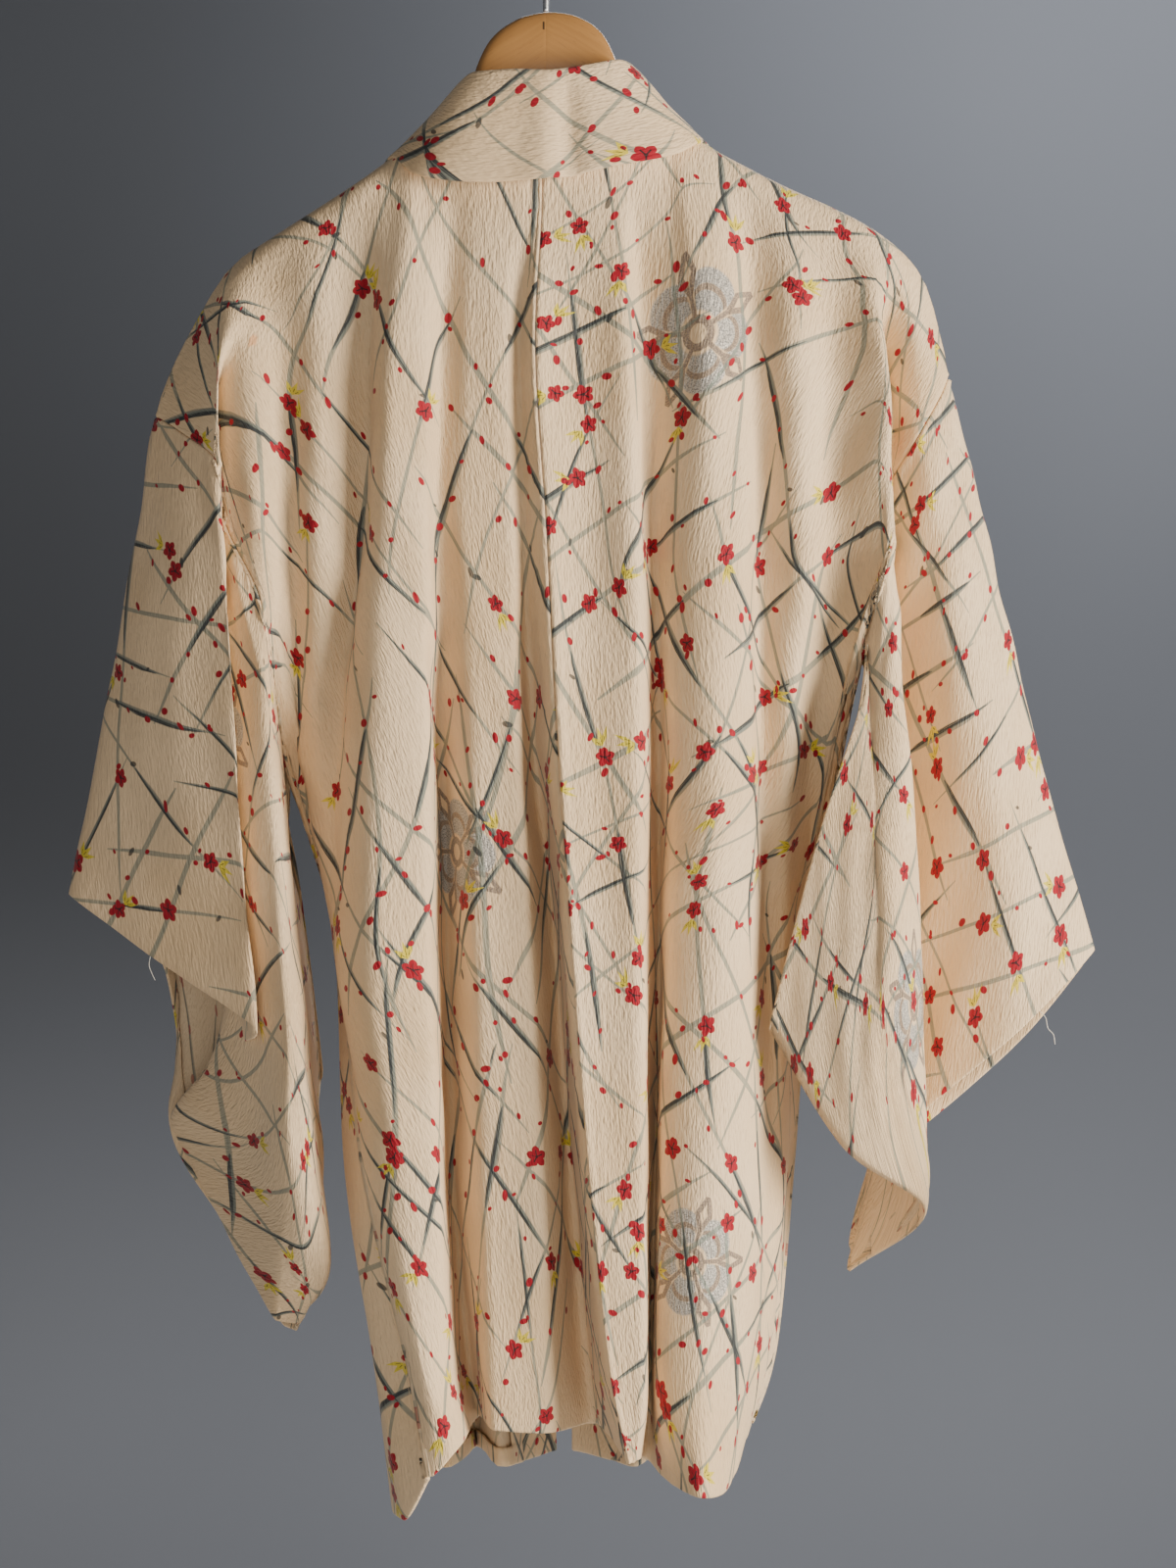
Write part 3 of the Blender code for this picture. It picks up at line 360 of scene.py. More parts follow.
SLEEVE_RIGHT = table(
    BagFold,
    ("arm fold", 0.0, (245, 220, 0), (271, 328, 4), (300, 448, 8), (334, 569, 10)),
    ("outer face", 0.45, (227, 255, -12), (248, 365, -14), (271, 489, -14), (293, 611, -6)),
    ("pleat root", 0.9, (207, 293, 4), (214, 421, 14), (223, 547, 22), (234, 665, 20)),
    ("pleat return", 1.3, (207, 306, -14), (208, 456, 14), (215, 595, 26), (204, 698, 36)),
    ("pleat edge", 1.6, (209, 319, -36), (215, 483, -8), (221, 639, 16), (196, 719, 38)),
    ("flap fold", 2.0, (203, 339, -42), (221, 505, -46), (227, 676, -14), (191, 739, 38)),
    ("flap face", 3.0, (195, 396, -43), (202, 584, -66), (229, 697, -36), (189, 751, 37)),
    ("back open edge", 4.0, (163, 498, -50), (189, 636, -66), (229, 711, -40), (188, 761, 36)),
    ("bottom", 5.0, (133, 613, -50), (178, 685, -58), (227, 725, -36), (187, 768, 33)),
    ("front open edge", 6.0, (167, 498, -30), (191, 614, -46), (222, 693, -20), (189, 753, 29)),
    ("front open edge, upper", 6.6, (200, 430, -8), (201, 550, -36), (218, 662, -4), (191, 738, 28)),
    ("front underarm", 7.0, (199, 400, 6), (207, 521, -26), (213, 635, 4), (194, 724, 28)),
    ("front root", 8.0, (205, 333, 26), (200, 462, 30), (207, 580, 40), (205, 697, 28)),
    ("front return", 8.5, (215, 300, 24), (222, 426, 38), (232, 553, 44), (237, 674, 36)),
    ("front face", 9.2, (226, 271, 18), (257, 372, 24), (280, 499, 28), (295, 620, 24)))
COLLAR = table(
    CollarSection, (-8.0, (6, 885, 78), (-44, 884, 90)), (-6.0, (2, 701, 76), (-54, 700, 92)),
    (-5.0, (-4, 558, 74), (-66, 558, 90)), (-3.0, (-26, 320, 70), (-90, 320, 80)),
    (-2.0, (-40, 200, 60), (-102, 204, 66)), (-1.35, (-49, 100, 40), (-106, 118, 30)),
    (-1.0, (-50, 47, 6), (-93.5, 87.5, -4)), (-0.7, (-40, 40, -22), (-76, 102, -28)),
    (-0.35, (-22, 40, -28), (-38, 107, -35)), (0.0, (0, 41, -30), (2, 105, -36)),
    (0.35, (24, 37, -28), (38, 98, -35)), (0.7, (44, 33, -21), (78, 89, -27)),
    (1.0, (54, 40, 6), (96, 78.5, -3)), (1.35, (54, 92, 40), (109, 108, 30)),
    (2.0, (46, 200, 60), (107, 204, 66)), (3.0, (36, 320, 70), (98, 320, 80)),
    (5.0, (22, 558, 74), (84, 558, 90)), (6.0, (18, 701, 76), (74, 700, 92)),
    (8.0, (16, 885, 78), (66, 884, 90)))
HANGER = table(
    WoodSection, (0, 0, 46, 13), (12, 1.5, 45, 13), (24, 6.5, 43, 13.5), (34, 15, 40, 14),
    (42, 30.5, 34, 15), (47, 48, 28, 15), (53, 60, 24, 15), (65, 74, 22, 16), (80, 86, 20, 17),
    (92, 92, 20, 18), (104, 98, 20, 19), (132, 112, 19, 20), (168, 131.5, 17, 20), (182, 141, 14, 17),
    (191, 150, 9, 11), (195, 156, 4, 5))


@dataclass(frozen=True)
class Drape:
    """How one half of the jacket hangs: its fold lines, and the surfaces that run through them."""

    side: Side
    back: tuple[Fold, ...]
    back_routes: tuple[Route, ...]
    front: tuple[Fold, ...]
    front_routes: tuple[Route, ...]
    gusset_middle: Route
    bag: tuple[BagFold, ...]
    neck: int
    cuff_turn: float

    @property
    def armhole_turns(self) -> tuple[float, ...]:
        """The sleeve's turns at ARMHOLE_ROWS of the front."""
        return (ROUND, 9.2, self.cuff_turn, 8, FRONT_UNDERARM_TURN)

    @property
    def edge(self) -> int:
        """The column of the back's outer edge."""
        count = len(self.back) + len(self.back_routes)
        return 1 - count if self.side is Side.LEFT else count

    def bag_rings(self, turns: Array) -> Array:
        """The sleeve's table at any turn: armhole, third, two thirds and cuff.

        Args:
            turns: 0 to 10 round the bag.

        Returns:
            Points by turn and ring.
        """
        rings = np.array([[fold.armhole, fold.third, fold.two_thirds, fold.cuff] for fold in self.bag])
        knots = np.array([fold.turn for fold in self.bag])
        around = np.concatenate((knots[-2:] - ROUND, knots, knots[:3] + ROUND))
        return pchip(around, np.concatenate((rings[-2:], rings, rings[:3])), turns)

    def lines(self, rows: Array, facing: int) -> Array:
        """Fold lines from the middle outward, then the line they meet.

        Args:
            rows: down the body.
            facing: -1 for the back, 1 for the front.

        Returns:
            Points by line and row.
        """
        on_back = facing < 0
        folds, routes = (self.back, self.back_routes) if on_back else (self.front, self.front_routes)
        turns = np.clip(rows, 0, UNDERARM_ROW) if on_back else self.front_turns(rows)
        middle = self.gusset_middle.at(np.maximum(rows, UNDERARM_ROW))
        beyond = np.where(rows[:, None] < UNDERARM_ROW, self.bag_rings(turns)[:, 1], middle)
        return np.array([*(fold.at(rows, facing) for fold in folds), *(route.at(rows) for route in routes),
                         beyond])

    def front_turns(self, rows: Array) -> Array:
        """The sleeve's turn that meets each row of the front's armhole edge."""
        return np.interp(rows, ARMHOLE_ROWS, self.armhole_turns)

    def armhole_rows(self, turns: Array) -> Array:
        """The row of the front's armhole edge that meets each of the sleeve's turns."""
        return np.interp(turns, self.armhole_turns[::-1], ARMHOLE_ROWS[::-1])

    @staticmethod
    def sewn_share(turns: Array) -> Array:
        """1 where the sleeve is sewn to the armhole, falling to 0 along its open inner edge."""
        away = np.where(turns < BOTTOM_TURN, turns - UNDERARM_ROW, FRONT_UNDERARM_TURN - turns)
        return 1 - smooth(away / OPEN_FADE)


@dataclass(frozen=True)
class Garment:
    """Both halves' drapes as one jacket, with the edges where its pieces meet."""

    left: Drape
    right: Drape
    collar: tuple[CollarSection, ...]

    def half(self, side: Side) -> Drape:
        """The drape of one side."""
        return self.left if side is Side.LEFT else self.right

    def back(self, columns: Sequence[float], rows: Sequence[float]) -> Array:
        """Points of the back by column and row; column 0 is the centre seam, the left is negative."""
        left, right = (half.lines(np.asarray(rows, float), -1) for half in (self.left, self.right))
        return pchip(np.arange(1 - len(left), len(right) + 1), np.concatenate((left[::-1], right)), columns)

    def front(self, side: Side, fractions: Sequence[float], rows: Sequence[float]) -> Array:
        """Points of one front.

        Args:
            side: which half.
            fractions: 0 at the front edge to 1 at the armhole and side seam.
            rows: down the body.

        Returns:
            Points by fraction and row.
        """
        drape = self.half(side)
        fractions, rows = np.asarray(fractions, float), np.asarray(rows, float)
        lines = drape.lines(np.concatenate(([0.0], rows)), 1)
        points = pchip(np.arange(len(lines)) / (len(lines) - 2), lines, fractions)
        shoulder = self.back(drape.neck + (drape.edge - drape.neck) * fractions, (0.0,))
        return points[:, 1:] + (shoulder - points[:, :1]) * (1 - smooth(rows))[None, :, None]

    def inner_fraction(self, side: Side) -> float:
        """The front's fraction one fold inside its outer edge."""
        return 1 - 1 / len(self.half(side).front)

    def gusset(self, side: Side, fractions: Sequence[float], rows: Sequence[float]) -> Array:
        """Points of one gusset.

        Args:
            side: which half.
            fractions: 0 at the back's side seam to 1 at the front's.
            rows: down the body.

        Returns:
            Points by fraction and row.
        """
        drape = self.half(side)
        rows = np.asarray(rows, float)
        back = self.back((drape.edge - side.value, drape.edge), rows)
        front = self.front(side, (1.0, self.inner_fraction(side)), rows)
        middle = drape.gusset_middle.at(rows)
        return pchip((-0.5, 0, 0.5, 1, 1.5), np.array([*back, middle, *front]), fractions)

    def body_at_armhole(self, side: Side, turns: Array, inside: bool) -> Array:
        """The body's armhole edge, or its line inside that, where a sleeve meets it.

        Args:
            side: which half.
            turns: the sleeve's turns.
            inside: one fold inside the edge.

        Returns:
            One point for each turn.
        """
        drape = self.half(side)
        column = drape.edge - side.value if inside else drape.edge
        back = self.back((float(column),), np.clip(turns, 0, UNDERARM_ROW))[0]
        fraction = self.inner_fraction(side) if inside else 1.0
        front = self.front(side, (fraction,), drape.armhole_rows(turns))[0]
        return np.where(turns[:, None] < BOTTOM_TURN, back, front)

    def sleeve(self, side: Side, turns: Sequence[float], steps: Sequence[float]) -> Array:
        """Points of one sleeve.

        Args:
            side: which half.
            turns: 0 to 10 round the bag.
            steps: 0 at the armhole to 3 at the cuff.

        Returns:
            Points by turn and step.
        """
        drape = self.half(side)
        turns = np.asarray(turns, float)
        bag = drape.bag_rings(turns)
        sewn = drape.sewn_share(turns)[:, None]
        edge = bag[:, 0] + (self.body_at_armhole(side, turns, False) - bag[:, 0]) * sewn
        straight_on = edge + (edge - bag[:, 1]) / 3
        body = straight_on + (self.body_at_armhole(side, turns, True) - straight_on) * sewn
        lines = np.stack((body, edge, bag[:, 1], bag[:, 2], bag[:, 3]))
        return pchip((-1, 0, 1, 2, 3), lines, steps).transpose(1, 0, 2)

    def across_edge(self, side: Side, rows: Array, on_back: bool) -> Array:
        """Directions outward across an outer edge of the body, square to it, turning from sleeve to gusset.

        Args:
            side: which half.
            rows: where along the edge.
            on_back: the back's edge, and not the front's.

        Returns:
            One unit vector for each row.
        """
        drape = self.half(side)
        if on_back:
            inside = self.back((drape.edge - 0.5 * side.value,), rows)[0]
            turns, fraction = np.minimum(rows, UNDERARM_ROW), NEAR_FRACTION
        else:
            inside = self.front(side, (1 - 0.5 / len(drape.front),), rows)[0]
            turns, fraction = drape.front_turns(rows), 1 - NEAR_FRACTION
        above = self.sleeve(side, turns, (NEAR_STEP,))[:, 0]
        below = self.gusset(side, (fraction,), np.maximum(rows, UNDERARM_ROW))[0]

        def edge_at(at: Array) -> Array:
            """The edge's points by row."""
            return self.back((drape.edge,), at)[0] if on_back else self.front(side, (1.0,), at)[0]

        share = smooth((rows - UNDERARM_ROW) / UNDERARM_SPAN + 0.5)[:, None]
        edge = edge_at(rows)
        outward = unit(above - edge) * (1 - share) + unit(below - edge) * share
        across = unit(edge - inside) + unit(outward)
        ahead = edge_at(np.minimum(rows + SMALL_ROW_STEP, HEM_ROW))
        along = unit(ahead - edge_at(np.maximum(rows - SMALL_ROW_STEP, 0)))
        return unit(across - along * np.sum(across * along, axis=-1, keepdims=True))

    def neck_edge(self, walk: float) -> Array:
        """The panels' edge that the collar is sewn to, at one place of the collar's walk.

        Args:
            walk: up to 1 along the back's neck, and past it down the front.

        Returns:
            One point.
        """
        side = Side.LEFT if walk < 0 else Side.RIGHT
        if abs(walk) >= 1:
            return self.front(side, (0.0,), (abs(walk) - 1.0,))[0, 0]
        return self.back((abs(walk) * self.half(side).neck,), (0.0,))[0, 0]

    def collar_surface(self, walks: Array) -> Array:
        """Rings of the folded collar: sewn edge, stand, round fold, fall and its free edge.

        Args:
            walks: places along the collar, 0 at the back of the neck and negative on the left.

        Returns:
            Points by walk and by line across the band.
        """
        knots = [section.walk for section in self.collar]
        folds, falls = (pchip(knots, line, walks)
                        for line in zip(*((section.fold, section.fall) for section in self.collar)))
        sewn = np.array([self.neck_edge(walk) for walk in walks])
        sewn = sewn + unit(folds - sewn) * COLLAR_SEAM_GAP
        path = unit(np.gradient(folds, axis=0))
        rise = folds - 0.5 * (sewn + falls)
        rise = unit(rise - path * np.sum(rise * path, axis=-1, keepdims=True))
        out = np.cross(path, rise)
        out = np.where(np.sum(out * (falls - sewn), axis=-1, keepdims=True) < 0, -out, out)
        centre = folds - rise * COLLAR_FOLD_RADIUS
        turn = [centre + COLLAR_FOLD_RADIUS * (rise * math.sin(a) - out * math.cos(a))
                for a in np.linspace(0, math.pi, 5)]
        return np.stack((sewn, 0.5 * (sewn + turn[0]), *turn, 0.5 * (falls + turn[-1]), falls), axis=1)


@dataclass(frozen=True)
class Crease:
    """A soft trough or ridge across the cloth, from one place on the flat cloth to another.

    Places, width and bow are in metres on the flat cloth; height is in millimetres, below 0 for a trough.
    """

    start: tuple[float, float]
    end: tuple[float, float]
    width: float
    height: float
    bow: float = 0.0

    def height_at(self, flat: Array) -> Array:
        """The crease's height in millimetres.

        Args:
            flat: places as u and v in metres.

        Returns:
            One height for each place.
        """
        start = np.array(self.start)
        run = np.array(self.end) - start
        length = float(np.hypot(*run))
        along = ((flat - start) @ run) / length ** 2
        inside = np.clip(along, 0, 1)
        side = np.array((-run[1], run[0])) / length
        off = (flat - start) @ side - self.bow * 4 * inside * (1 - inside)
        taper = np.sin(math.pi * inside) ** 0.7
        return self.height * taper * np.exp(-(off / self.width) ** 2)


def creases(*rows: tuple[float, ...]) -> tuple[Crease, ...]:
    """Creases from rows of millimetres: start u and v, end u and v, width, height and bow."""
    return tuple(Crease((u / 1000, v / 1000), (end_u / 1000, end_v / 1000), width / 1000, height,
                        *(part / 1000 for part in bow)) for u, v, end_u, end_v, width, height, *bow in rows)


@dataclass(frozen=True)
class Ripple:
    """A field of small uneven waves over the cloth: a sum of plane waves of like length."""

    across: float
    along: float
    height: float
    seed: int
    lean: float = 0.0
    waves: int = 26

    def height_at(self, flat: Array) -> Array:
        """The ripple's height in millimetres.

        Args:
            flat: places as u and v in metres.

        Returns:
            One height for each place.
        """
        rng = np.random.default_rng(self.seed)
        lean = math.radians(self.lean)
        across = flat[..., 0] * math.cos(lean) + flat[..., 1] * math.sin(lean)
        along = flat[..., 1] * math.cos(lean) - flat[..., 0] * math.sin(lean)
        total = np.zeros(flat.shape[:-1])
        for _ in range(self.waves):
            pitch = rng.normal(1.0, 0.35) / self.across
            drift = rng.normal(0.0, 0.8) / self.along
            total += np.cos(2 * math.pi * (pitch * across + drift * along + rng.random()))
        return total * self.height * math.sqrt(2 / self.waves)


class Border(Enum):
    """The four edges of a sheet of cloth: axis of its grid, and which end."""

    FIRST_COLUMN = (0, 0)
    LAST_COLUMN = (0, -1)
    FIRST_ROW = (1, 0)
    LAST_ROW = (1, -1)

    def inward(self, values: Array) -> Array:
        """A grid's values in lines that run from this edge inwards."""
        axis, end = self.value
        return np.moveaxis(values, axis, 0)[::-1 if end else 1]


@dataclass
class Sheet:
    """A grid of cloth: points and outward normals in table axes, and places on the flat cloth."""

    points: Array
    flat: Array
    outward: Array

    @classmethod
    def facing(cls, points: Array, flat: Array, outside: Array) -> "Sheet":
        """A sheet whose normals point, on the whole, the way that outside does.

        Args:
            points: by column and row.
            flat: their places on the flat cloth.
            outside: a direction, or one for each point.

        Returns:
            The sheet.
        """
        normals = unit(np.cross(np.gradient(points, axis=0), np.gradient(points, axis=1)))
        if np.sum(normals * outside) < 0:
            normals = -normals
        return cls(points, flat, normals)

    def from_border(self, border: Border) -> Array:
        """Distance of every point from one edge, in millimetres along the grid."""
        axis, end = border.value
        return np.moveaxis(lengths(border.inward(self.points))[::-1 if end else 1], 0, axis)

    def creased(self, relief: Sequence["Crease | Ripple"], *sewn: Border) -> None:
        """Raise and sink the cloth by its creases, less and less towards each sewn edge.

        Args:
            relief: creases and ripples.
            sewn: edges that hold the cloth flat.
        """
        height = sum((part.height_at(self.flat) for part in relief), np.zeros(self.flat.shape[:-1]))
        for border in sewn:
            height = height * smooth(self.from_border(border) / SEWN_FADE)
        self.points = self.points + self.outward * height[..., None]

    def puckered(self, border: Border, share: Array, seed: int) -> None:
        """Draw the cloth into small puckers beside a seam.

        Args:
            border: the sewn edge.
            share: how much of the edge is sewn at each of its points, 0 to 1.
            seed: for the puckers' spacing.
        """
        away = self.from_border(border) / PUCKER_REACH
        run = lengths(border.inward(self.flat)[0])
        rng = np.random.default_rng(seed)
        wave = sum(np.cos(2 * math.pi * (run * pitch + rng.random())) * 0.5
                   for pitch in rng.uniform(35, 120, 7))
        height = np.expand_dims(PUCKER_DEPTH * wave * share, border.value[0])
        self.points = self.points + self.outward * (height * (away * np.exp(1 - away)))[..., None]

    def turned_under(self, border: Border, lines: int, part: slice = slice(None)) -> "Sheet":
        """The strip that an edge is turned under into: a round fold and a facing behind the cloth.

        Args:
            border: the edge.
            lines: how many of the sheet's own lines the facing runs back over.
            part: the stretch of the edge that is turned under.

        Returns:
            The strip, which starts on the sheet's edge.
        """
        points, flat, outward = (border.inward(values)[:, part]
                                 for values in (self.points, self.flat, self.outward))
        tangent = unit(points[0] - points[1])
        away = unit(flat[0] - flat[1])
        strip = [(points[0], flat[0], outward[0])]
        for angle in np.linspace(0, math.pi, 6)[1:]:
            sine, cosine = math.sin(angle), math.cos(angle)
            strip.append((points[0] + TURN_RADIUS * (sine * tangent - (1 - cosine) * outward[0]),
                          flat[0] + away * TURN_RADIUS * angle * MM, cosine * outward[0] + sine * tangent))
        for line in range(2, lines + 2):
            back = np.linalg.norm(points[line] - points[0], axis=-1, keepdims=True)
            strip.append((points[line] - 2 * TURN_RADIUS * outward[line],
                          flat[0] + away * (math.pi * TURN_RADIUS + back) * MM, -outward[line]))
        return Sheet(*(np.moveaxis(np.array(values), 0, 1) for values in zip(*strip)))

    def with_strips(self, **lines: int) -> list["Sheet"]:
        """The sheet, and a turned-under strip of so many lines for each edge that is named."""
        return [self, *(self.turned_under(Border[edge.upper()], count) for edge, count in lines.items())]


def square_to_seam(points: Array, edge: int, inward: Array) -> None:
    """Set a sheet's edge a little in from the seam, and the line next to it straight behind."""
    seam = points[edge].copy()
    points[edge] = seam + inward * SEAM_TRIM
    points[edge + (1 if edge == 0 else -1)] = seam + inward * 2 * SEAM_TRIM


def beside_edges(values: Array) -> Array:
    """The same values with one more close to each end, for a seam's ease."""
    near = (values[1] - values[0]) / 4
    return np.concatenate((values[:1], [values[0] + near], values[1:-1], [values[-1] - near], values[-1:]))


def flat_places(points: Array, start: float, end: float, sign: float) -> Array:
    """Places on the flat cloth for a sheet that hangs: u evenly across each row, v down the warp.

    Args:
        points: by column and row, in millimetres.
        start: u of the first column.
        end: u of the last column.
        sign: 1 where v grows away from the shoulder, -1 where it falls.

    Returns:
        u and v in metres for each point.
    """
    across = lengths(points) * MM
    u = start + (end - start) * across / across[-1:]
    v = (lengths(points, 1) * MM).mean(axis=0)
    return np.stack((u, np.broadcast_to(sign * v, u.shape)), axis=-1)


def add_sheet(bm: Shape, sheet: Sheet) -> None:
    """Add a grid to the bmesh, move it onto a sheet and give it the sheet's cloth map.

    Args:
        bm: takes the grid.
        sheet: gives its places.
    """
    columns, rows = sheet.points.shape[:2]
    cloth_map = bm.loops.layers.uv.verify()
    made = bmesh.ops.create_grid(bm, x_segments=columns - 1, y_segments=rows - 1, size=1)["verts"]
    places = place(sheet.points)
    spots = {}
    faces = set()
    for vert in made:
        spot = (round((vert.co.x + 1) / 2 * (columns - 1)), round((vert.co.y + 1) / 2 * (rows - 1)))
        spots[vert] = spot
        vert.co = places[spot]
        faces.update(vert.link_faces)
    for face in faces:
        for loop in face.loops:
            loop[cloth_map].uv = sheet.flat[spots[loop.vert]]


def into_scene(name: str, data: bpy.types.ID) -> Piece:
    """Link a mesh, lamp or camera to the scene as an object."""
    made = bpy.data.objects.new(name, data)
    bpy.context.scene.collection.objects.link(made)
    return made


def finished(name: str, bm: Shape, finishes: Sequence[Material], rounded: bool = True) -> Piece:
    """Turn a bmesh into an object with its finishes, shaded smooth where it is rounded.

    Args:
        name: the object's name.
        bm: its shape, which is freed.
        finishes: by material index.
        rounded: whether it is shaded smooth.

    Returns:
        The object, in the scene.
    """
    mesh = bpy.data.meshes.new(name)
    for face in bm.faces:
        face.smooth = rounded
    bm.to_mesh(mesh)
    bm.free()
    for finish in finishes:
        mesh.materials.append(finish)
    return into_scene(name, mesh)


def cloth_piece(node: str, sheets: Sequence[Sheet], finishes: tuple[Material, Material],
                rests_on: tuple[str, ...]) -> Piece:
    """One cloth piece: its sheets joined where they meet, given a wall and put in its node's place.

    Args:
        node: the solid it replaces.
        sheets: the first is the main one; its normals say which side is the right side.
        finishes: of the printed side and of the inside.
        rests_on: what carries it; not used.

    Returns:
        The piece, linked to the scene.
    """
    bm = bmesh.new()
    for sheet in sheets:
        add_sheet(bm, sheet)
    bmesh.ops.remove_doubles(bm, verts=bm.verts, dist=MEET)
    bmesh.ops.recalc_face_normals(bm, faces=bm.faces)
    main = sheets[0]
    middle = tuple(size // 2 for size in main.points.shape[:2])
    spot = place(main.points[middle])
    outward = place(main.points[middle] + main.outward[middle]) - spot
    nearest = min(bm.faces, key=lambda face: (face.calc_center_median() - Vector(spot)).length)
    if nearest.normal.dot(Vector(outward)) < 0:
        bmesh.ops.reverse_faces(bm, faces=bm.faces)
    piece = finished("haori_" + node, bm, finishes)
    piece.data.uv_layers[0].name = CLOTH_MAP
    solid = piece.modifiers.new("Wall", "SOLIDIFY")
    solid.thickness = CLOTH_WALL
    solid.offset = 0
    solid.use_even_offset = False
    solid.use_quality_normals = True
    solid.material_offset = 1
    solid.material_offset_rim = 0
    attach(piece, "root")
    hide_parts(node)
    return piece


class Wiring:
    """Adds nodes to one shader tree and joins them."""

    def __init__(self, tree: bpy.types.NodeTree) -> None:
        """Keep the tree that nodes are added to."""
        self.tree = tree

    def node(self, kind: str, inputs: dict, output: int | str = 0, **settings: object) -> "Signal":
        """Add a node.

        Args:
            kind: its type, without the leading ShaderNode.
            inputs: a number, colour or Signal for each input, by name or place.
            output: which of its outputs to give.
            settings: the node's own properties.

        Returns:
            The output.
        """
        made = self.tree.nodes.new("ShaderNode" + kind)
        for name, value in settings.items():
            setattr(made, name, value)
        for name, value in inputs.items():
            self.feed(made.inputs[name], value)
        return Signal(self, made.outputs[output])

    def feed(self, socket: bpy.types.NodeSocket, value: object) -> None:
        """Link a Signal to a socket, or set the socket to a constant.

        Args:
            socket: an input.
            value: a Signal or a constant.
        """
        if isinstance(value, Signal):
            self.tree.links.new(value.socket, socket)
        else:
            socket.default_value = value

    def maths(self, operation: str, *values: "Value") -> "Signal":
        """The result of one Math node."""
        return self.node("Math", dict(enumerate(values)), operation=operation)

    def vector(self, *values: "Value") -> "Signal":
        """Up to three values as one vector."""
        return self.node("CombineXYZ", dict(enumerate(values)))

    def split(self, vector: "Signal") -> "list[Signal]":
        """A vector's three values."""
        first = self.node("SeparateXYZ", {0: vector})
        return [Signal(self, socket) for socket in first.socket.node.outputs]

    def step(self, value: "Signal", start: "Value", end: "Value") -> "Signal":
        """0 at start rising smoothly to 1 at end, which may be the smaller of the two."""
        return self.node("MapRange", {"Value": value, "From Min": start, "From Max": end}, "Result",
                         interpolation_type="SMOOTHSTEP")

    def chance(self, x: "Value", y: "Value", seed: "Value") -> "list[Signal]":
        """Four even random values from 0 to 1 for a cell at x, y."""
        first = self.node("TexWhiteNoise", {"Vector": self.vector(x, y), "W": seed}, "Value",
                          noise_dimensions="4D")
        return [first, *self.split(Signal(self, first.socket.node.outputs["Color"]))]

    def noise(self, place: "Signal", scale: float, detail: float = 2.0, roughness: float = 0.5
              ) -> "Signal":
        """Cloudy noise from 0 to 1 at a place."""
        return self.node("TexNoise", {"Vector": place, "Scale": scale, "Detail": detail,
                                      "Roughness": roughness}, noise_dimensions="3D")

    def blend(self, share: "Value", first: "Colour", second: "Colour") -> "Signal":
        """Colour first turning into colour second as share goes from 0 to 1."""
        first, second = (value if isinstance(value, Signal) else (*value, 1.0) for value in (first, second))
        return self.node("Mix", {"Factor": share, 6: first, 7: second}, 2, data_type="RGBA")

    def bump(self, height: "Signal", strength: float, distance: float) -> "Signal":
        """Normals of a surface that a height in metres times distance raises."""
        return self.node("Bump", {"Height": height, "Strength": strength, "Distance": distance})


class Finish(Wiring):
    """The wiring of one material."""

    def __init__(self, name: str) -> None:
        """Start a material."""
        self.material = bpy.data.materials.new(name)
        self.material.use_nodes = True
        super().__init__(self.material.node_tree)

    def spot(self) -> "Signal":
        """Places in the object's own axes, in metres."""
        return self.node("TexCoord", {}, "Object")

    def surface(self, inputs: "dict[str, object]") -> Material:
        """Feed the surface shader's inputs and return the material."""
        for name, value in inputs.items():
            self.feed(self.tree.nodes["Principled BSDF"].inputs[name], value)
        return self.material


def math_method(operation: str) -> "Callable[..., Signal]":
    """A method that takes a signal, and any other values, through one Math node.

    Args:
        operation: the node's.

    Returns:
        The method.
    """

    def method(signal: "Signal", *others: "Value") -> "Signal":
        """The node's result."""
        return signal.wiring.maths(operation, signal, *others)

    return method


@dataclass(frozen=True)
class Signal:
    """One value running through a shader tree; arithmetic on it adds Math nodes.

    below and above are 1 on that side of a limit and otherwise 0; fraction is what lies above floor;
    least and most are the smaller and the larger of two values.
    """

    wiring: Wiring
    socket: bpy.types.NodeSocket

    __add__ = __radd__ = math_method("ADD")
    __sub__ = math_method("SUBTRACT")
    __mul__ = __rmul__ = math_method("MULTIPLY")
    __truediv__ = math_method("DIVIDE")
    __abs__ = math_method("ABSOLUTE")
    floor = math_method("FLOOR")
    fraction = math_method("FRACT")
    power = math_method("POWER")
    root = math_method("SQRT")
    below = math_method("LESS_THAN")
    above = math_method("GREATER_THAN")
    least = math_method("MINIMUM")
    most = math_method("MAXIMUM")
    cosine = math_method("COSINE")
    sine = math_method("SINE")
    turn_from = math_method("ARCTAN2")

    def __rsub__(self, other: float) -> "Signal":
        """Difference from a number."""
        return self.wiring.maths("SUBTRACT", other, self)


Value = Signal | float
Colour = Signal | Sequence[float]


def length_of(x: Signal, y: Signal) -> Signal:
    """Distance of a place from its origin."""
    return (x * x + y * y).root()


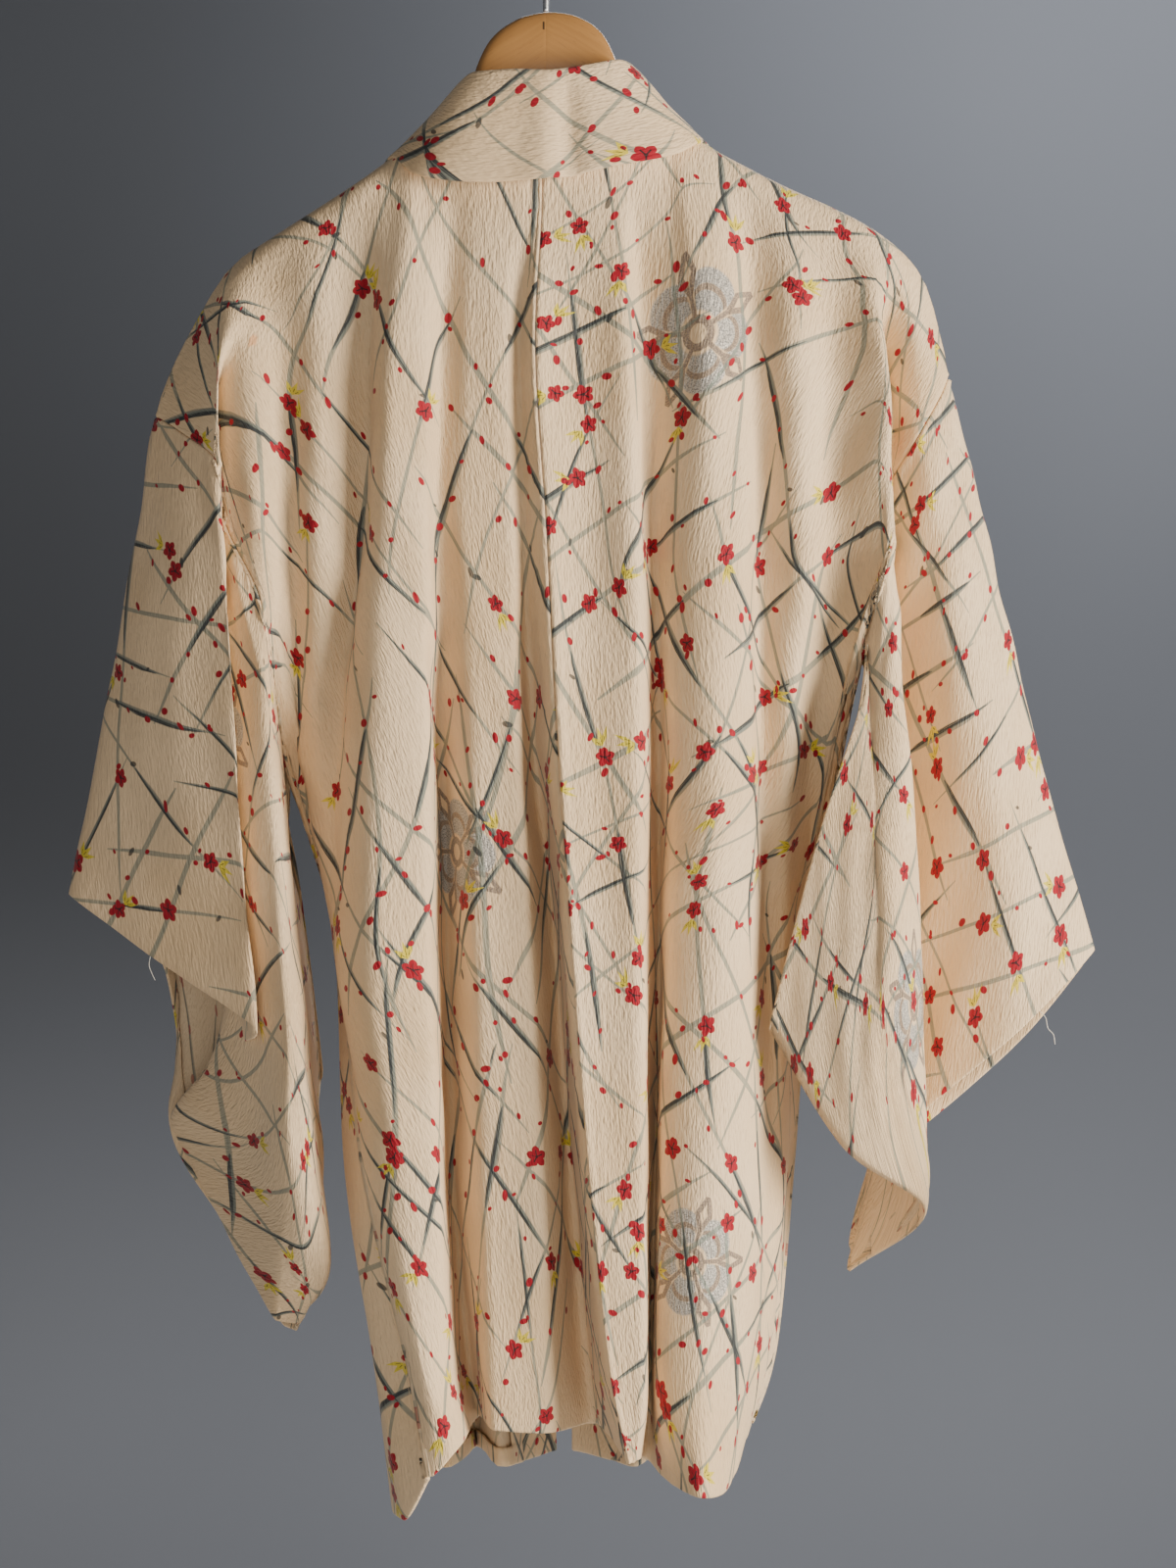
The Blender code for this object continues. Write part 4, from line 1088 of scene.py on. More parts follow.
class Recipe:
    """A node group that is built once and used wherever its recipe is called for."""

    def __init__(self, name: str, takes: str, gives: str) -> None:
        """Start an empty group.

        Args:
            name: its name.
            takes: its inputs' names, with spaces between.
            gives: its outputs', likewise.
        """
        self.tree = bpy.data.node_groups.new(name, "ShaderNodeTree")
        for names, way in ((takes, "INPUT"), (gives, "OUTPUT")):
            for socket in names.split():
                self.tree.interface.new_socket(socket, in_out=way, socket_type="NodeSocketFloat")
        self.wiring = Wiring(self.tree)
        entry = self.tree.nodes.new("NodeGroupInput")
        self.takes = [Signal(self.wiring, entry.outputs[name]) for name in takes.split()]
        self.exit = self.tree.nodes.new("NodeGroupOutput")

    def give(self, **results: Signal) -> "Recipe":
        """Join the results to the group's outputs."""
        for name, value in results.items():
            self.wiring.feed(self.exit.inputs[name], value)
        return self

    def use(self, wiring: Wiring, **inputs: Value) -> dict[str, Signal]:
        """Add the group to a shader and return its outputs by name.

        Args:
            wiring: the shader's.
            inputs: a number or Signal for each input.

        Returns:
            A Signal for each output, by name.
        """
        made = wiring.tree.nodes.new("ShaderNodeGroup")
        made.node_tree = self.tree
        for name, value in inputs.items():
            wiring.feed(made.inputs[name], value)
        return {socket.name: Signal(wiring, socket) for socket in made.outputs}


@dataclass(frozen=True)
class Branch:
    """A family of brushed branches that all run much the same way over the cloth."""

    lean: float                # degrees from the warp, towards the right as it rises
    seed: float
    pitch: float = 0.050       # metres between neighbouring branches
    drawn: float = 0.9         # share of the branches that are there
    blooming: float = 0.32     # share of the places along a branch that have a blossom

    def paint(self, brush: Recipe, wiring: Wiring, u: Signal, v: Signal) -> dict[str, Signal]:
        """Draw the family on the flat cloth, and return how much of each dye lies there."""
        lean = math.radians(self.lean)
        return brush.use(wiring, u=u, v=v, cosine=math.cos(lean), sine=math.sin(lean), seed=self.seed,
                         pitch=self.pitch, drawn=self.drawn, blooming=self.blooming)


@dataclass(frozen=True)
class Stroke:
    """Where a place of the cloth lies on the branch nearest to it, in metres."""

    wiring: Wiring
    here: Signal               # along the branch, from its middle
    off: Signal                # across it
    row: Signal
    cell: Signal
    seed: Signal
    half: Signal               # half the branch's length
    end: Signal                # 1, and falling to 0 at the branch's ends
    streak: Signal             # of the brush's hairs

    def along(self, space: float, jog: float, skip: float, seed: float
              ) -> tuple[Signal, Signal, list[Signal]]:
        """Places evenly spaced along the branch, each moved a little.

        Args:
            space: from one place to the next.
            jog: how far a place may be moved.
            skip: keeps each branch's draws apart.
            seed: added to the family's own.

        Returns:
            The nearest place, the distance past it, and its four random values.
        """
        count = (self.here / space).floor()
        draws = self.wiring.chance(count + self.cell * skip, self.row, self.seed + seed)
        middle = (count + 0.5) * space + (draws[1] - 0.5) * jog
        return middle, self.here - middle, draws


@dataclass(frozen=True)
class BranchBrush:
    """How one branch is drawn, in metres: sage stroke, charcoal accent, buds, blossoms and sprays."""

    reach: float = 0.30         # the longest branch
    ink_space: float = 0.125    # between accents, blossoms and buds
    bloom_space: float = 0.068
    bud_space: float = 0.024
    slant: float = 0.08         # of a branch to its family
    wander: float = 0.022       # of a branch off its line
    taper: float = 0.03         # over which an end thins out
    thin: float = 0.0009        # half the width of the thinnest stroke
    fuzz: float = 0.0011        # roughness of a stroke's edge
    edge: float = 0.0002        # softness of the same
    inked: float = 0.60         # share of the places that have an accent or a bud
    budded: float = 0.60
    speckless: float = 0.955    # share of the buds that aren't charcoal specks
    petal: float = 0.0056       # radius of the smallest blossom
    petals: int = 5

    def recipe(self) -> Recipe:
        """Build the group that draws a family of branches.

        Returns:
            The group, with one output for each dye.
        """
        made = Recipe("brushed_branches", "u v cosine sine seed pitch drawn blooming",
                      "sage wash ink crimson yolk black")
        wiring = made.wiring
        u, v, cosine, sine, seed, pitch, drawn, blooming = made.takes
        waver = wiring.noise(wiring.vector(u, v, seed), 5.0, 1.0)
        across = u * cosine + v * sine + (waver - 0.5) * self.wander
        along = u * sine - v * cosine
        row = (across / pitch + 0.5).floor()
        along = along + wiring.chance(row, 0.0, seed)[0] * self.reach
        cell = (along / self.reach).floor()
        here = along - (cell + 0.5) * self.reach
        there, tilt, place_in_row, stretch = wiring.chance(row, cell, seed + 0.5)
        off = across - row * pitch - (place_in_row - 0.5) * (pitch * 0.26)
        off = off - (tilt - 0.5) * self.slant * here
        half = (stretch * 0.17 + 0.32) * self.reach
        end = ((half - abs(here)) / self.taper).least(1.0).most(0.0)
        streak = wiring.noise(wiring.vector(here * 26.0, off * 1500.0, row), 1.0, 1.0)
        press = (place_in_row * 5.0 + stretch * 3.0).fraction()
        width = (press * self.thin + self.thin) * (end * 0.75 + 0.25)
        sage = wiring.step(abs(off) + (streak - 0.5) * self.fuzz, width + self.edge, width - self.edge)
        sage = sage * (streak * 0.6 + 0.65) * end.above(0.0)
        stroke = Stroke(wiring, here, off, row, cell, seed, half, end, streak)
        wash, ink = self._ink(stroke)
        buds, specks = self._buds(stroke)
        petals, yolk, black = self._blossoms(stroke, blooming)
        covers = {"sage": sage, "wash": wash, "ink": ink.most(specks), "crimson": buds.most(petals),
                  "yolk": yolk, "black": black}
        drawn_here = there.below(drawn)
        return made.give(**{dye: cover * drawn_here for dye, cover in covers.items()})

    def _ink(self, at: Stroke) -> tuple[Signal, Signal]:
        """A grey wash over parts of a branch, and charcoal dragged along them with a dry brush.

        Args:
            at: where the cloth's places lie on their nearest branch.

        Returns:
            Covers of the wash and of the charcoal, 0 to 1.
        """
        count = (at.here / self.ink_space).floor()
        there, where, length, wide = at.wiring.chance(at.row + count * 13.0, at.cell, at.seed + 1.7)
        run = at.here - (count + 0.5) * self.ink_space - (where - 0.5) * 0.020
        half = length * 0.026 + 0.024
        fullness = (1.0 - (run / half).power(2.0)).most(0.0) * at.end
        width = (wide * 0.0015 + 0.0013) * fullness.root()
        side = at.off - run * 0.010 + (at.streak - 0.5) * 0.0014
        wash = at.wiring.step(abs(side), width + self.edge, width - self.edge * 2)
        wash = wash * there.below(self.inked)
        dry = at.wiring.noise(at.wiring.vector(at.here * 70.0, at.off * 2000.0, at.cell), 1.0, 2.0, 0.75)
        core = at.wiring.step(abs(side + width * 0.40), width * 0.85, width * 0.30)
        bite = dry * 0.62 + at.streak * 0.34 + core * 0.34 + fullness * 0.06
        return wash, wash * at.wiring.step(bite, 0.70, 0.86)

    def _buds(self, at: Stroke) -> tuple[Signal, Signal]:
        """Oval crimson buds beside the branch, and small charcoal specks.

        Args:
            at: where the cloth's places lie on their nearest branch.

        Returns:
            Covers of the buds and of the specks, 0 to 1.
        """
        middle, x, (there, jog, side, size) = at.along(self.bud_space, 0.011, 31.0, 2.9)
        y = at.off - (side - 0.5) * 0.0075 + x * (jog - 0.5) * 1.2
        long = size.power(1.3) * 0.0016 + 0.0014
        oval = length_of(x / long, y / (long * 0.76))
        inside = at.wiring.step(oval, 1.10, 0.90) * abs(middle).below(at.half)
        return inside * there.below(self.budded), inside * there.above(self.speckless) * 0.9

    def _blossoms(self, at: Stroke, blooming: Signal) -> tuple[Signal, Signal, Signal]:
        """Five-petalled blossoms on the branch, the yellow sprays beside them and the black threads.

        Args:
            at: where the cloth's places lie on their nearest branch.
            blooming: share of the places that have a blossom.

        Returns:
            Covers of the petals, the sprays and the threads, 0 to 1.
        """
        step = at.wiring.step
        middle, flat_x, (there, jog, size, spin) = at.along(self.bloom_space, 0.024, 17.0, 4.1)
        flat_y = at.off - (size - 0.5) * 0.004
        angle = spin * 6.283
        cosine, sine = angle.cosine(), angle.sine()
        x, y = flat_x * cosine + flat_y * sine, flat_y * cosine - flat_x * sine
        away = length_of(x, y)
        fifth = 2 * math.pi / self.petals
        turn = y.turn_from(x) / fifth
        from_petal = abs((turn + self.petals).fraction() - 0.5) * 2.0
        reach = size * 0.0012 + self.petal
        outline = reach * ((1.0 - from_petal).power(0.55) * 0.42 + 0.58)
        on_branch = abs(middle).below(at.half)
        petals = step(away, outline + self.edge, outline - self.edge) * (there.below(blooming) * on_branch)
        thread = away * from_petal * (fifth / 2)
        uneven = step((turn * 0.37 + jog * 3.0).fraction(), 0.25, 0.35)
        threads = step(thread, 0.00052, 0.00026) * away.below(reach * 0.60) * uneven
        threads = threads.most(step(away, 0.0012, 0.0006)) * petals
        spray_x, spray_y = abs(flat_x - 0.0005) - 0.0058, flat_y - flat_x * 0.35
        spray_away = length_of(spray_x, spray_y)
        spray_turn = spray_y.turn_from(spray_x)
        blade = abs((spray_turn / 0.66 + 10.5).fraction() - 0.5) * 0.66
        fan = abs(spray_turn).below(0.99) * (flat_x * (spin - 0.5)).above(0.0)
        fat = 0.00165 - abs(spray_away - 0.0048) * 0.30
        leaf = step(spray_away * blade, fat + self.edge, fat - self.edge)
        yolk = leaf * fan * there.below(blooming * 0.80) * on_branch
        vein = step(spray_away * blade, 0.00026, 0.00012)
        vein = vein * abs(spray_away - 0.0036).below(0.0013) * yolk
        return petals, yolk, threads.most(vein)


def medallion_recipe() -> Recipe:
    """The group that draws a flower head of silver-speckled petals, with leaves and threads between.

    Returns:
        The group, whose outputs are how much silver and taupe lie at a place.
    """
    made = Recipe("silvered_medallion", "x y turn", "silver taupe")
    step = made.wiring.step
    x, y, start = made.takes
    away = length_of(x, y)
    turn = (y.turn_from(x) / (2 * math.pi) + start) * 5.0 + 10.0
    petal = abs(turn.fraction() - 0.5) * 2.0
    between = abs((turn + 0.5).fraction() - 0.5) * 2.0
    full = away / ((1.0 - petal * petal).root() * 0.40 + 0.48)
    fill = step(full, 0.97, 0.92) * step(away, 0.26, 0.31) * step(petal, 0.86, 0.76)
    ring = step(abs(full - 0.66), 0.060, 0.042)
    heart = step(abs(away - 0.18), 0.062, 0.045)
    off_thread = away * between * 0.628
    thread = step(off_thread, 0.040, 0.026) * abs(away - 0.36).below(0.15)
    leaf = step(abs(off_thread - 0.11 + abs(away - 0.76) * 0.42), 0.052, 0.036) * abs(away - 0.76).below(0.27)
    return made.give(silver=fill * (1.0 - ring) * (1.0 - leaf),
                     taupe=heart.most(thread).most(leaf).most(ring * fill))


@dataclass(frozen=True)
class Medallion:
    """A large silvered flower head at one place of the cloth."""

    u: float
    v: float
    radius: float
    turn: float

    def paint(self, stamp: Recipe, wiring: Wiring, u: Signal, v: Signal) -> tuple[Signal, Signal]:
        """How much silver and how much taupe the flower head lays down."""
        covers = stamp.use(wiring, x=(u - self.u) / self.radius, y=(v - self.v) / self.radius,
                           turn=self.turn)
        return covers["silver"], covers["taupe"]


def crinkle_recipe() -> Recipe:
    """The group that gives the height of crepe's uneven crinkle, drawn out along the warp.

    Returns:
        The group.
    """
    made = Recipe("crepe_crinkle", "u v cosine sine", "height")
    wiring = made.wiring
    u, v, cosine, sine = made.takes
    across = u * cosine + v * sine
    along = v * cosine - u * sine
    fine = wiring.noise(wiring.vector(across * 760.0, along * 190.0), 1.0, 1.0, 0.6)
    broad = wiring.noise(wiring.vector(across * 480.0, along * 110.0, 4.0), 1.0, 0.5, 0.5)
    return made.give(height=fine * 0.60 + broad * 0.40)


@dataclass(frozen=True)
class DyeBench:
    """The three recipes that every length of cloth is printed and crinkled with."""

    brush: Recipe
    stamp: Recipe
    crinkle: Recipe


class Dye(Enum):
    """Colours of the print, in linear light, and the share of the cloth that each may hide."""

    SAGE = (0.205, 0.228, 0.178), 0.80
    WASH = (0.150, 0.172, 0.150), 0.72
    INK = (0.024, 0.028, 0.031), 0.90
    YOLK = (0.68, 0.53, 0.035), 0.95
    CRIMSON = (0.35, 0.004, 0.015), 1.0
    BLACK = (0.02, 0.012, 0.012), 0.95


TAUPE = (0.20, 0.150, 0.118)
SILVER = (0.49, 0.475, 0.435)
# Painted shade: dark grey laid on the silver print between its glittering specks, so that the silver sparkles
# in its colour.
SILVER_SHADE_BETWEEN_GLINTS = (0.15, 0.15, 0.14)
OLD_STAIN = (0.74, 0.31, 0.10)


@dataclass(frozen=True)
class Crepe:
    """Crinkled cream silk with its print, or its paler wrong side."""

    name: str
    branches: tuple[Branch, ...]
    medallions: tuple[Medallion, ...] = ()
    ground: tuple[float, float, float] = (0.780, 0.568, 0.340)
    crinkle_lean: float = 0.0
    strength: float = 1.0      # of the dyes; less on the wrong side
    stain: tuple[float, float] | None = None

    def material(self, bench: DyeBench) -> Material:
        """Build the finish on the cloth map of the piece.

        Args:
            bench: the recipes it is printed and crinkled with.

        Returns:
            The material.
        """
        wiring = Finish(self.name)
        u, v, _ = wiring.split(wiring.node("UVMap", {}, uv_map=CLOTH_MAP))
        colour, silver = self._colour(bench, wiring, u, v)
        lean = math.radians(self.crinkle_lean)
        crinkle = bench.crinkle.use(wiring, u=u, v=v, cosine=math.cos(lean), sine=math.sin(lean))["height"]
        return wiring.surface({
            "Base Color": colour, "Normal": wiring.bump(crinkle, 1.0, 0.0016),
            "Roughness": 0.80 - crinkle * 0.12 - silver * 0.25,
            **({"Metallic": silver * 0.25} if self.medallions else {}), "Specular IOR Level": 0.32,
            "Sheen Weight": 0.22, "Sheen Roughness": 0.45, "Sheen Tint": (1.0, 0.93, 0.84, 1.0)})

    def _colour(self, bench: DyeBench, wiring: Wiring, u: Signal, v: Signal) -> tuple[Signal, Value]:
        """The cloth's colour, and where its silver lies.

        Args:
            bench: the recipes.
            wiring: the material's.
            u: across the flat cloth.
            v: along it.

        Returns:
            The colour, and how much silver lies there.
        """
        cloud = wiring.noise(wiring.vector(u, v, 2.0), 9.0, 3.0)
        light = tuple(part * 1.05 for part in self.ground)
        aged = tuple(part * shade for part, shade in zip(self.ground, (0.97, 0.93, 0.87)))
        colour = wiring.blend(wiring.step(cloud, 0.35, 0.70), light, aged)
        if self.stain is not None:
            spot = length_of((u - self.stain[0]) / 0.0035, (v - self.stain[1]) / 0.006)
            spot = spot + (wiring.noise(wiring.vector(u, v), 260.0, 2.0) - 0.5) * 0.9
            colour = wiring.blend(wiring.step(spot, 1.2, 0.5) * 0.60, colour, OLD_STAIN)
        silver: Value = 0.0
        glitter = wiring.step(wiring.noise(wiring.vector(u, v, 7.0), 1000.0, 1.0, 0.6), 0.38, 0.56)
        for medallion in self.medallions:
            bright, dull = medallion.paint(bench.stamp, wiring, u, v)
            # The silver print and its taupe are the cloth's own colour. The dark grey over the silver where
            # no speck glitters is painted shade, which leaves the specks as painted glints.
            for cover, dye in ((dull * (glitter * 0.30 + 0.62), TAUPE), (bright * 0.78, SILVER),
                               (bright * (1.0 - glitter) * 0.75, SILVER_SHADE_BETWEEN_GLINTS)):
                colour = wiring.blend(cover * self.strength, colour, dye)
            silver = bright * glitter + silver
        layers: dict[str, Signal] = {}
        for branch in self.branches:
            for name, cover in branch.paint(bench.brush, wiring, u, v).items():
                layers[name] = layers[name].most(cover) if name in layers else cover
        for dye in Dye:
            shade, cover = dye.value
            colour = wiring.blend(layers[dye.name.lower()] * (cover * self.strength), colour, shade)
        return colour, silver


@dataclass
class ClothPiece:
    """What every piece of cloth has: how the garment hangs, both its finishes and its relief."""

    garment: Garment
    finishes: tuple[Material, Material]
    relief: tuple[Crease | Ripple, ...]


@dataclass
class SidePiece(ClothPiece):
    """A piece that the jacket has on both its sides."""

    side: Side

    @property
    def name(self) -> str:
        """The side's name."""
        return self.side.name.lower()


@dataclass
class BodyPanel(SidePiece):
    """Half of the body: one loom width of cloth from the back hem over the shoulder to the front hem."""

    front_relief: tuple[Crease | Ripple, ...]
    seam_seed: int
    rows: tuple[float, ...] = (0, 0.012, 0.025, 0.04, 0.06, 0.085, 0.115, 0.15, 0.19, 0.23)
    row_step: float = 0.0335
    first_measured: int = 20    # row from which the columns are spaced
    measured_step: int = 6
    length: float = 1.66

    def build(self) -> Piece:
        """Shape the back and the front, turn their edges under and dress the panel.

        Returns:
            The panel, back and front in one piece.
        """
        garment, drape, sign = self.garment, self.garment.half(self.side), self.side.value
        neck, edge = drape.neck, drape.edge
        rows = np.concatenate((self.rows, np.arange(self.rows[-1] + self.row_step, HEM_ROW, self.row_step),
                               (HEM_ROW,)))

        def along_back(columns: Array) -> Array:
            """Rows of the back that its columns are spaced by."""
            return garment.back(columns, rows[self.first_measured::self.measured_step])

        inner = even_samples(along_back, 0, neck, MESH_SPACING)
        outer = even_samples(along_back, neck, edge, MESH_SPACING)
        columns = beside_edges(np.concatenate((inner, outer[1:])))
        shoulder = slice(len(inner), None)
        points = garment.back(columns, rows)
        beside = garment.back((-0.5, 0.5), rows)
        square_to_seam(points, 0, unit(beside[1] - beside[0]) * sign)
        square_to_seam(points, -1, -garment.across_edge(self.side, rows, True))
        flat = flat_places(points, 0.0, sign * LOOM_WIDTH, 1.0)
        back = Sheet.facing(points, flat, np.array((0.0, 0.0, -1.0)))
        points = garment.front(self.side, (columns[shoulder] - neck) / (edge - neck), rows)
        square_to_seam(points, -1, -garment.across_edge(self.side, rows, False))
        flat = flat_places(points, flat[shoulder][0, 0, 0], sign * LOOM_WIDTH, -1.0)
        front = Sheet.facing(points, flat, np.array((0.0, 0.0, 1.0)))
        for sheet, relief in ((back, self.relief), (front, self.front_relief)):
            sheet.creased(relief, Border.FIRST_COLUMN, Border.LAST_COLUMN, Border.FIRST_ROW)
        sewn = np.clip((HEM_ROW - rows) / PUCKER_FADE_ROWS, 0, 1)
        for seed, (sheet, border) in enumerate(((back, Border.FIRST_COLUMN), (back, Border.LAST_COLUMN),
                                                (front, Border.LAST_COLUMN)), start=self.seam_seed):
            sheet.puckered(border, sewn, seed)
        back, *back_strips = back.with_strips(first_column=2, last_column=2)
        back_strips += [back.turned_under(Border.LAST_ROW, 5, slice(0, -HEM_FOLD_SHORT)),
                        back.turned_under(Border.FIRST_ROW, 2, slice(0, len(inner) + 1))]
        front, *front_strips = front.with_strips(first_column=2, last_column=2, last_row=5)
        return cloth_piece(f"body_{self.name}", [back, front, *back_strips, *front_strips], self.finishes,
                           ("hanger_wood",))


@dataclass
class Gusset(SidePiece):
    """The tapered strip of cloth between back and front below the sleeve."""

    width: float = 0.062
    length: float = 0.45
    top_gap: float = 0.04       # rows below the underarm
    row_count: int = 118
    column_count: int = 22

    def build(self) -> Piece:
        """Shape the strip and dress it.

        Returns:
            The strip.
        """
        rows = np.linspace(UNDERARM_ROW + self.top_gap, HEM_ROW, self.row_count)
        fractions = beside_edges(np.linspace(0, 1, self.column_count))
        points = self.garment.gusset(self.side, fractions, rows)
        square_to_seam(points, 0, self.garment.across_edge(self.side, rows, True))
        square_to_seam(points, -1, self.garment.across_edge(self.side, rows, False))
        flat = flat_places(points, 0.0, self.side.value * self.width, 1.0)
        sheet = Sheet.facing(points, flat, np.array((self.side.value, 0.0, 0.0)))
        sheet.creased(self.relief, Border.FIRST_COLUMN, Border.LAST_COLUMN)
        sheets = sheet.with_strips(first_column=2, last_column=2, last_row=5)
        return cloth_piece(f"gusset_{self.name}", sheets, self.finishes,
                           (f"haori_body_{self.name}",))


@dataclass
class Sleeve(SidePiece):
    """A deep sleeve: one width of cloth folded along the arm into a bag, open at cuff and inner edge."""

    seam_seed: int
    gap: float = 0.012         # between the body's print and the sleeve's
    width: float = 0.30
    length: float = 0.82

    def build(self) -> Piece:
        """Shape the bag from its bottom fold round by the arm fold, turn its edges under and dress it.

        Returns:
            The sleeve, front and back layer in one piece.
        """
        garment, side = self.garment, self.side
        drape = garment.half(side)

        def round_bag(turns: Array) -> Array:
            """Three rings of the bag, by turn."""
            return garment.sleeve(side, np.mod(turns, ROUND), (0.5, 1.5, 2.5))

        def along_arm(steps: Array) -> Array:
            """Five lines along the arm, by step."""
            return garment.sleeve(side, (0.0, 1.6, 4.0, 6.0, 8.5), steps).transpose(1, 0, 2)

        turns = even_samples(round_bag, -BOTTOM_TURN, BOTTOM_TURN, MESH_SPACING)
        around = np.mod(turns, ROUND)
        steps = even_samples(along_arm, 0, 3, MESH_SPACING)
        bag = garment.sleeve(side, around, beside_edges(steps)[:-1])
        bag = np.concatenate((bag[:, :-1], garment.sleeve(side, around, steps[-1:])), axis=1)
        sewn = drape.sewn_share(around)[:, None]
        out = np.where(around[:, None] < BOTTOM_TURN,
                       garment.across_edge(side, np.clip(around, 0, UNDERARM_ROW), True),
                       garment.across_edge(side, drape.armhole_rows(around), False))
        out = unit(out * sewn + unit(bag[:, 2] - bag[:, 0]) * (1 - sewn))
        square_to_seam(bag.transpose(1, 0, 2), 0, out)
        bag[-1] = bag[0]
        across = lengths(bag, 1) * MM
        u = side.value * (LOOM_WIDTH + self.gap + 0.5 * (across + across.mean(axis=0)))
        round_arc = lengths(bag) * MM
        v = round_arc - round_arc[int(np.argmin(abs(turns)))]
        sheet = Sheet.facing(bag, np.stack((u, v), axis=-1), bag - bag.mean(axis=0, keepdims=True))
        sheet.outward[[0, -1]] = unit(sheet.outward[0] + sheet.outward[-1])
        sheet.creased(self.relief, Border.FIRST_COLUMN, Border.LAST_COLUMN, Border.FIRST_ROW)
        sheet.puckered(Border.FIRST_ROW, sewn[:, 0], self.seam_seed)
        return cloth_piece(f"sleeve_{self.name}", sheet.with_strips(first_row=3, last_row=6), self.finishes,
                           (f"haori_body_{self.name}",))


@dataclass
class Collar(ClothPiece):
    """The long band folded outward, from one front's hem round the neck to the other's."""

    width: float = 0.14
    length: float = 1.95
    seam_seed: int = 77
    wall_lines: int = 17        # of the stand, and of the fall
    fold_lines: int = 9

    def build(self) -> Piece:
        """Shape the stand, the round fold and the fall, and dress the band.

        Returns:
            The band.
        """
        span = self.garment.collar[-1].walk

        def along_band(walks: Array) -> Array:
            """The top of the fold, by walk."""
            return self.garment.collar_surface(walks)[:, 3:5]

        walks = even_samples(along_band, -span, span, MESH_SPACING * 1.05)
        rings = self.garment.collar_surface(walks)
        rungs = (lengths(rings, 1) * MM).mean(axis=0)
        fold = (rungs[2], rungs[6])
        places = np.concatenate((np.linspace(0, fold[0], self.wall_lines),
                                 np.linspace(*fold, self.fold_lines)[1:-1],
                                 np.linspace(fold[1], rungs[-1], self.wall_lines)))
        points = pchip(rungs, rings.transpose(1, 0, 2), places).transpose(1, 0, 2)
        along = (lengths(points) * MM).mean(axis=1)
        across = (lengths(points, 1) * MM).mean(axis=0)
        flat = np.stack(np.broadcast_arrays(across[None, :], (along - along[-1] / 2)[:, None]), axis=-1)
        sheet = Sheet.facing(points, flat, points - points.mean(axis=1, keepdims=True))
        sheet.creased(self.relief, Border.FIRST_ROW)
        sheet.puckered(Border.FIRST_ROW, np.ones(len(walks)), self.seam_seed)
        sheets = sheet.with_strips(first_row=2, last_row=3, first_column=3, last_column=3)
        return cloth_piece("collar", sheets, self.finishes,
                           ("haori_body_left", "haori_body_right"))


@dataclass(frozen=True)
class Wood:
    """Clear-lacquered beech: long grain that follows the hanger's arms, with fine pores, and a small slit
    painted near-black as painted shade.
    """

    light: tuple[float, float, float] = (0.45, 0.222, 0.066)
    dark: tuple[float, float, float] = (0.39, 0.185, 0.054)
    # Painted shade: where a small slit lies on the wood's face, painted near-black for the shade inside it.
    slit_shade: tuple[float, float, float, float] = (-1.3, -94.5, -99.5, 0.8)     # x, z from and to, half width, mm

    def material(self) -> Material:
        """Build the finish.

        Returns:
            The material.
        """
        wiring = Finish("hanger_wood_lacquered")
        x, y, z = wiring.split(wiring.spot())
        slope = z + abs(x) * 0.62
        bend = wiring.noise(wiring.vector(x * 9.0, y * 20.0, slope * 20.0), 1.0, 2.0)
        rings = wiring.noise(wiring.vector(x * 7.0, y * 160.0, slope * 190.0 + bend * 5.0), 1.0, 3.0, 0.55)
        pores = wiring.noise(wiring.vector(x * 160.0, y * 1500.0, slope * 1500.0), 1.0, 1.0)
        pore = wiring.step(pores, 0.66, 0.74)
        colour = wiring.blend(wiring.step(rings, 0.30, 0.72), self.light, self.dark)
        colour = wiring.blend(pore * 0.45, colour, tuple(part * 0.5 for part in self.dark))
        # The slit is painted near-black: painted shade of its inside, not a cut in the wood.
        middle, top, bottom, reach = (part * MM for part in self.slit_shade)
        slit_shade = wiring.step(abs(x - middle), reach, reach * 0.5) * abs(z - (top + bottom) / 2).below(
            (top - bottom) / 2) * y.below(0.0)
        return wiring.surface({
            "Base Color": wiring.blend(slit_shade * 0.9, colour, (0.03, 0.018, 0.01)),
            "Roughness": rings * 0.10 + 0.34, "Normal": wiring.bump(rings * 0.6 - pore * 0.4, 0.25, 0.0004),
            "Coat Weight": 0.35, "Coat Roughness": 0.22})


def brushed_steel() -> Material:
    """Plated steel wire with fine marks along it.

    Returns:
        The material.
    """
    wiring = Finish("hanger_hook_steel")
    tarnish = wiring.noise(wiring.spot(), 90.0, 2.0)
    return wiring.surface({"Base Color": wiring.blend(tarnish, (0.76, 0.76, 0.75), (0.62, 0.61, 0.59)),
                           "Roughness": wiring.noise(wiring.spot(), 900.0, 2.0) * 0.18 + 0.20,
                           "Metallic": 1.0})


def spun_silk() -> Material:
    """Dull sewing thread, unevenly pale along its length.

    Returns:
        The material.
    """
    wiring = Finish("sewing_thread_silk")
    fibre = wiring.noise(wiring.spot(), 900.0, 1.0)
    return wiring.surface({"Base Color": wiring.blend(fibre, (0.72, 0.66, 0.56), (0.86, 0.81, 0.72)),
                           "Roughness": 0.7, "Sheen Weight": 0.3})


def loft(bm: Shape, sides: int, radius: float, count: int,
         section: Callable[[int, float, float], Array]) -> None:
    """Skin a closed tube over rings that start as circles.

    Args:
        bm: takes the tube.
        sides: of each ring.
        radius: of the circles.
        count: how many rings.
        section: moves a place x, y on the circle to its place on a numbered ring.
    """
    rings = []
    for ring in range(count):
        circle = bmesh.ops.create_circle(bm, segments=sides, radius=radius)["verts"]
        for vert in circle:
            vert.co = section(ring, vert.co.x, vert.co.y)
        rings.append(list({edge for vert in circle for edge in vert.link_edges}))
    for ring, following in zip(rings, rings[1:]):
        bmesh.ops.bridge_loops(bm, edges=ring + following)
    bmesh.ops.holes_fill(bm, edges=rings[0] + rings[-1], sides=sides)


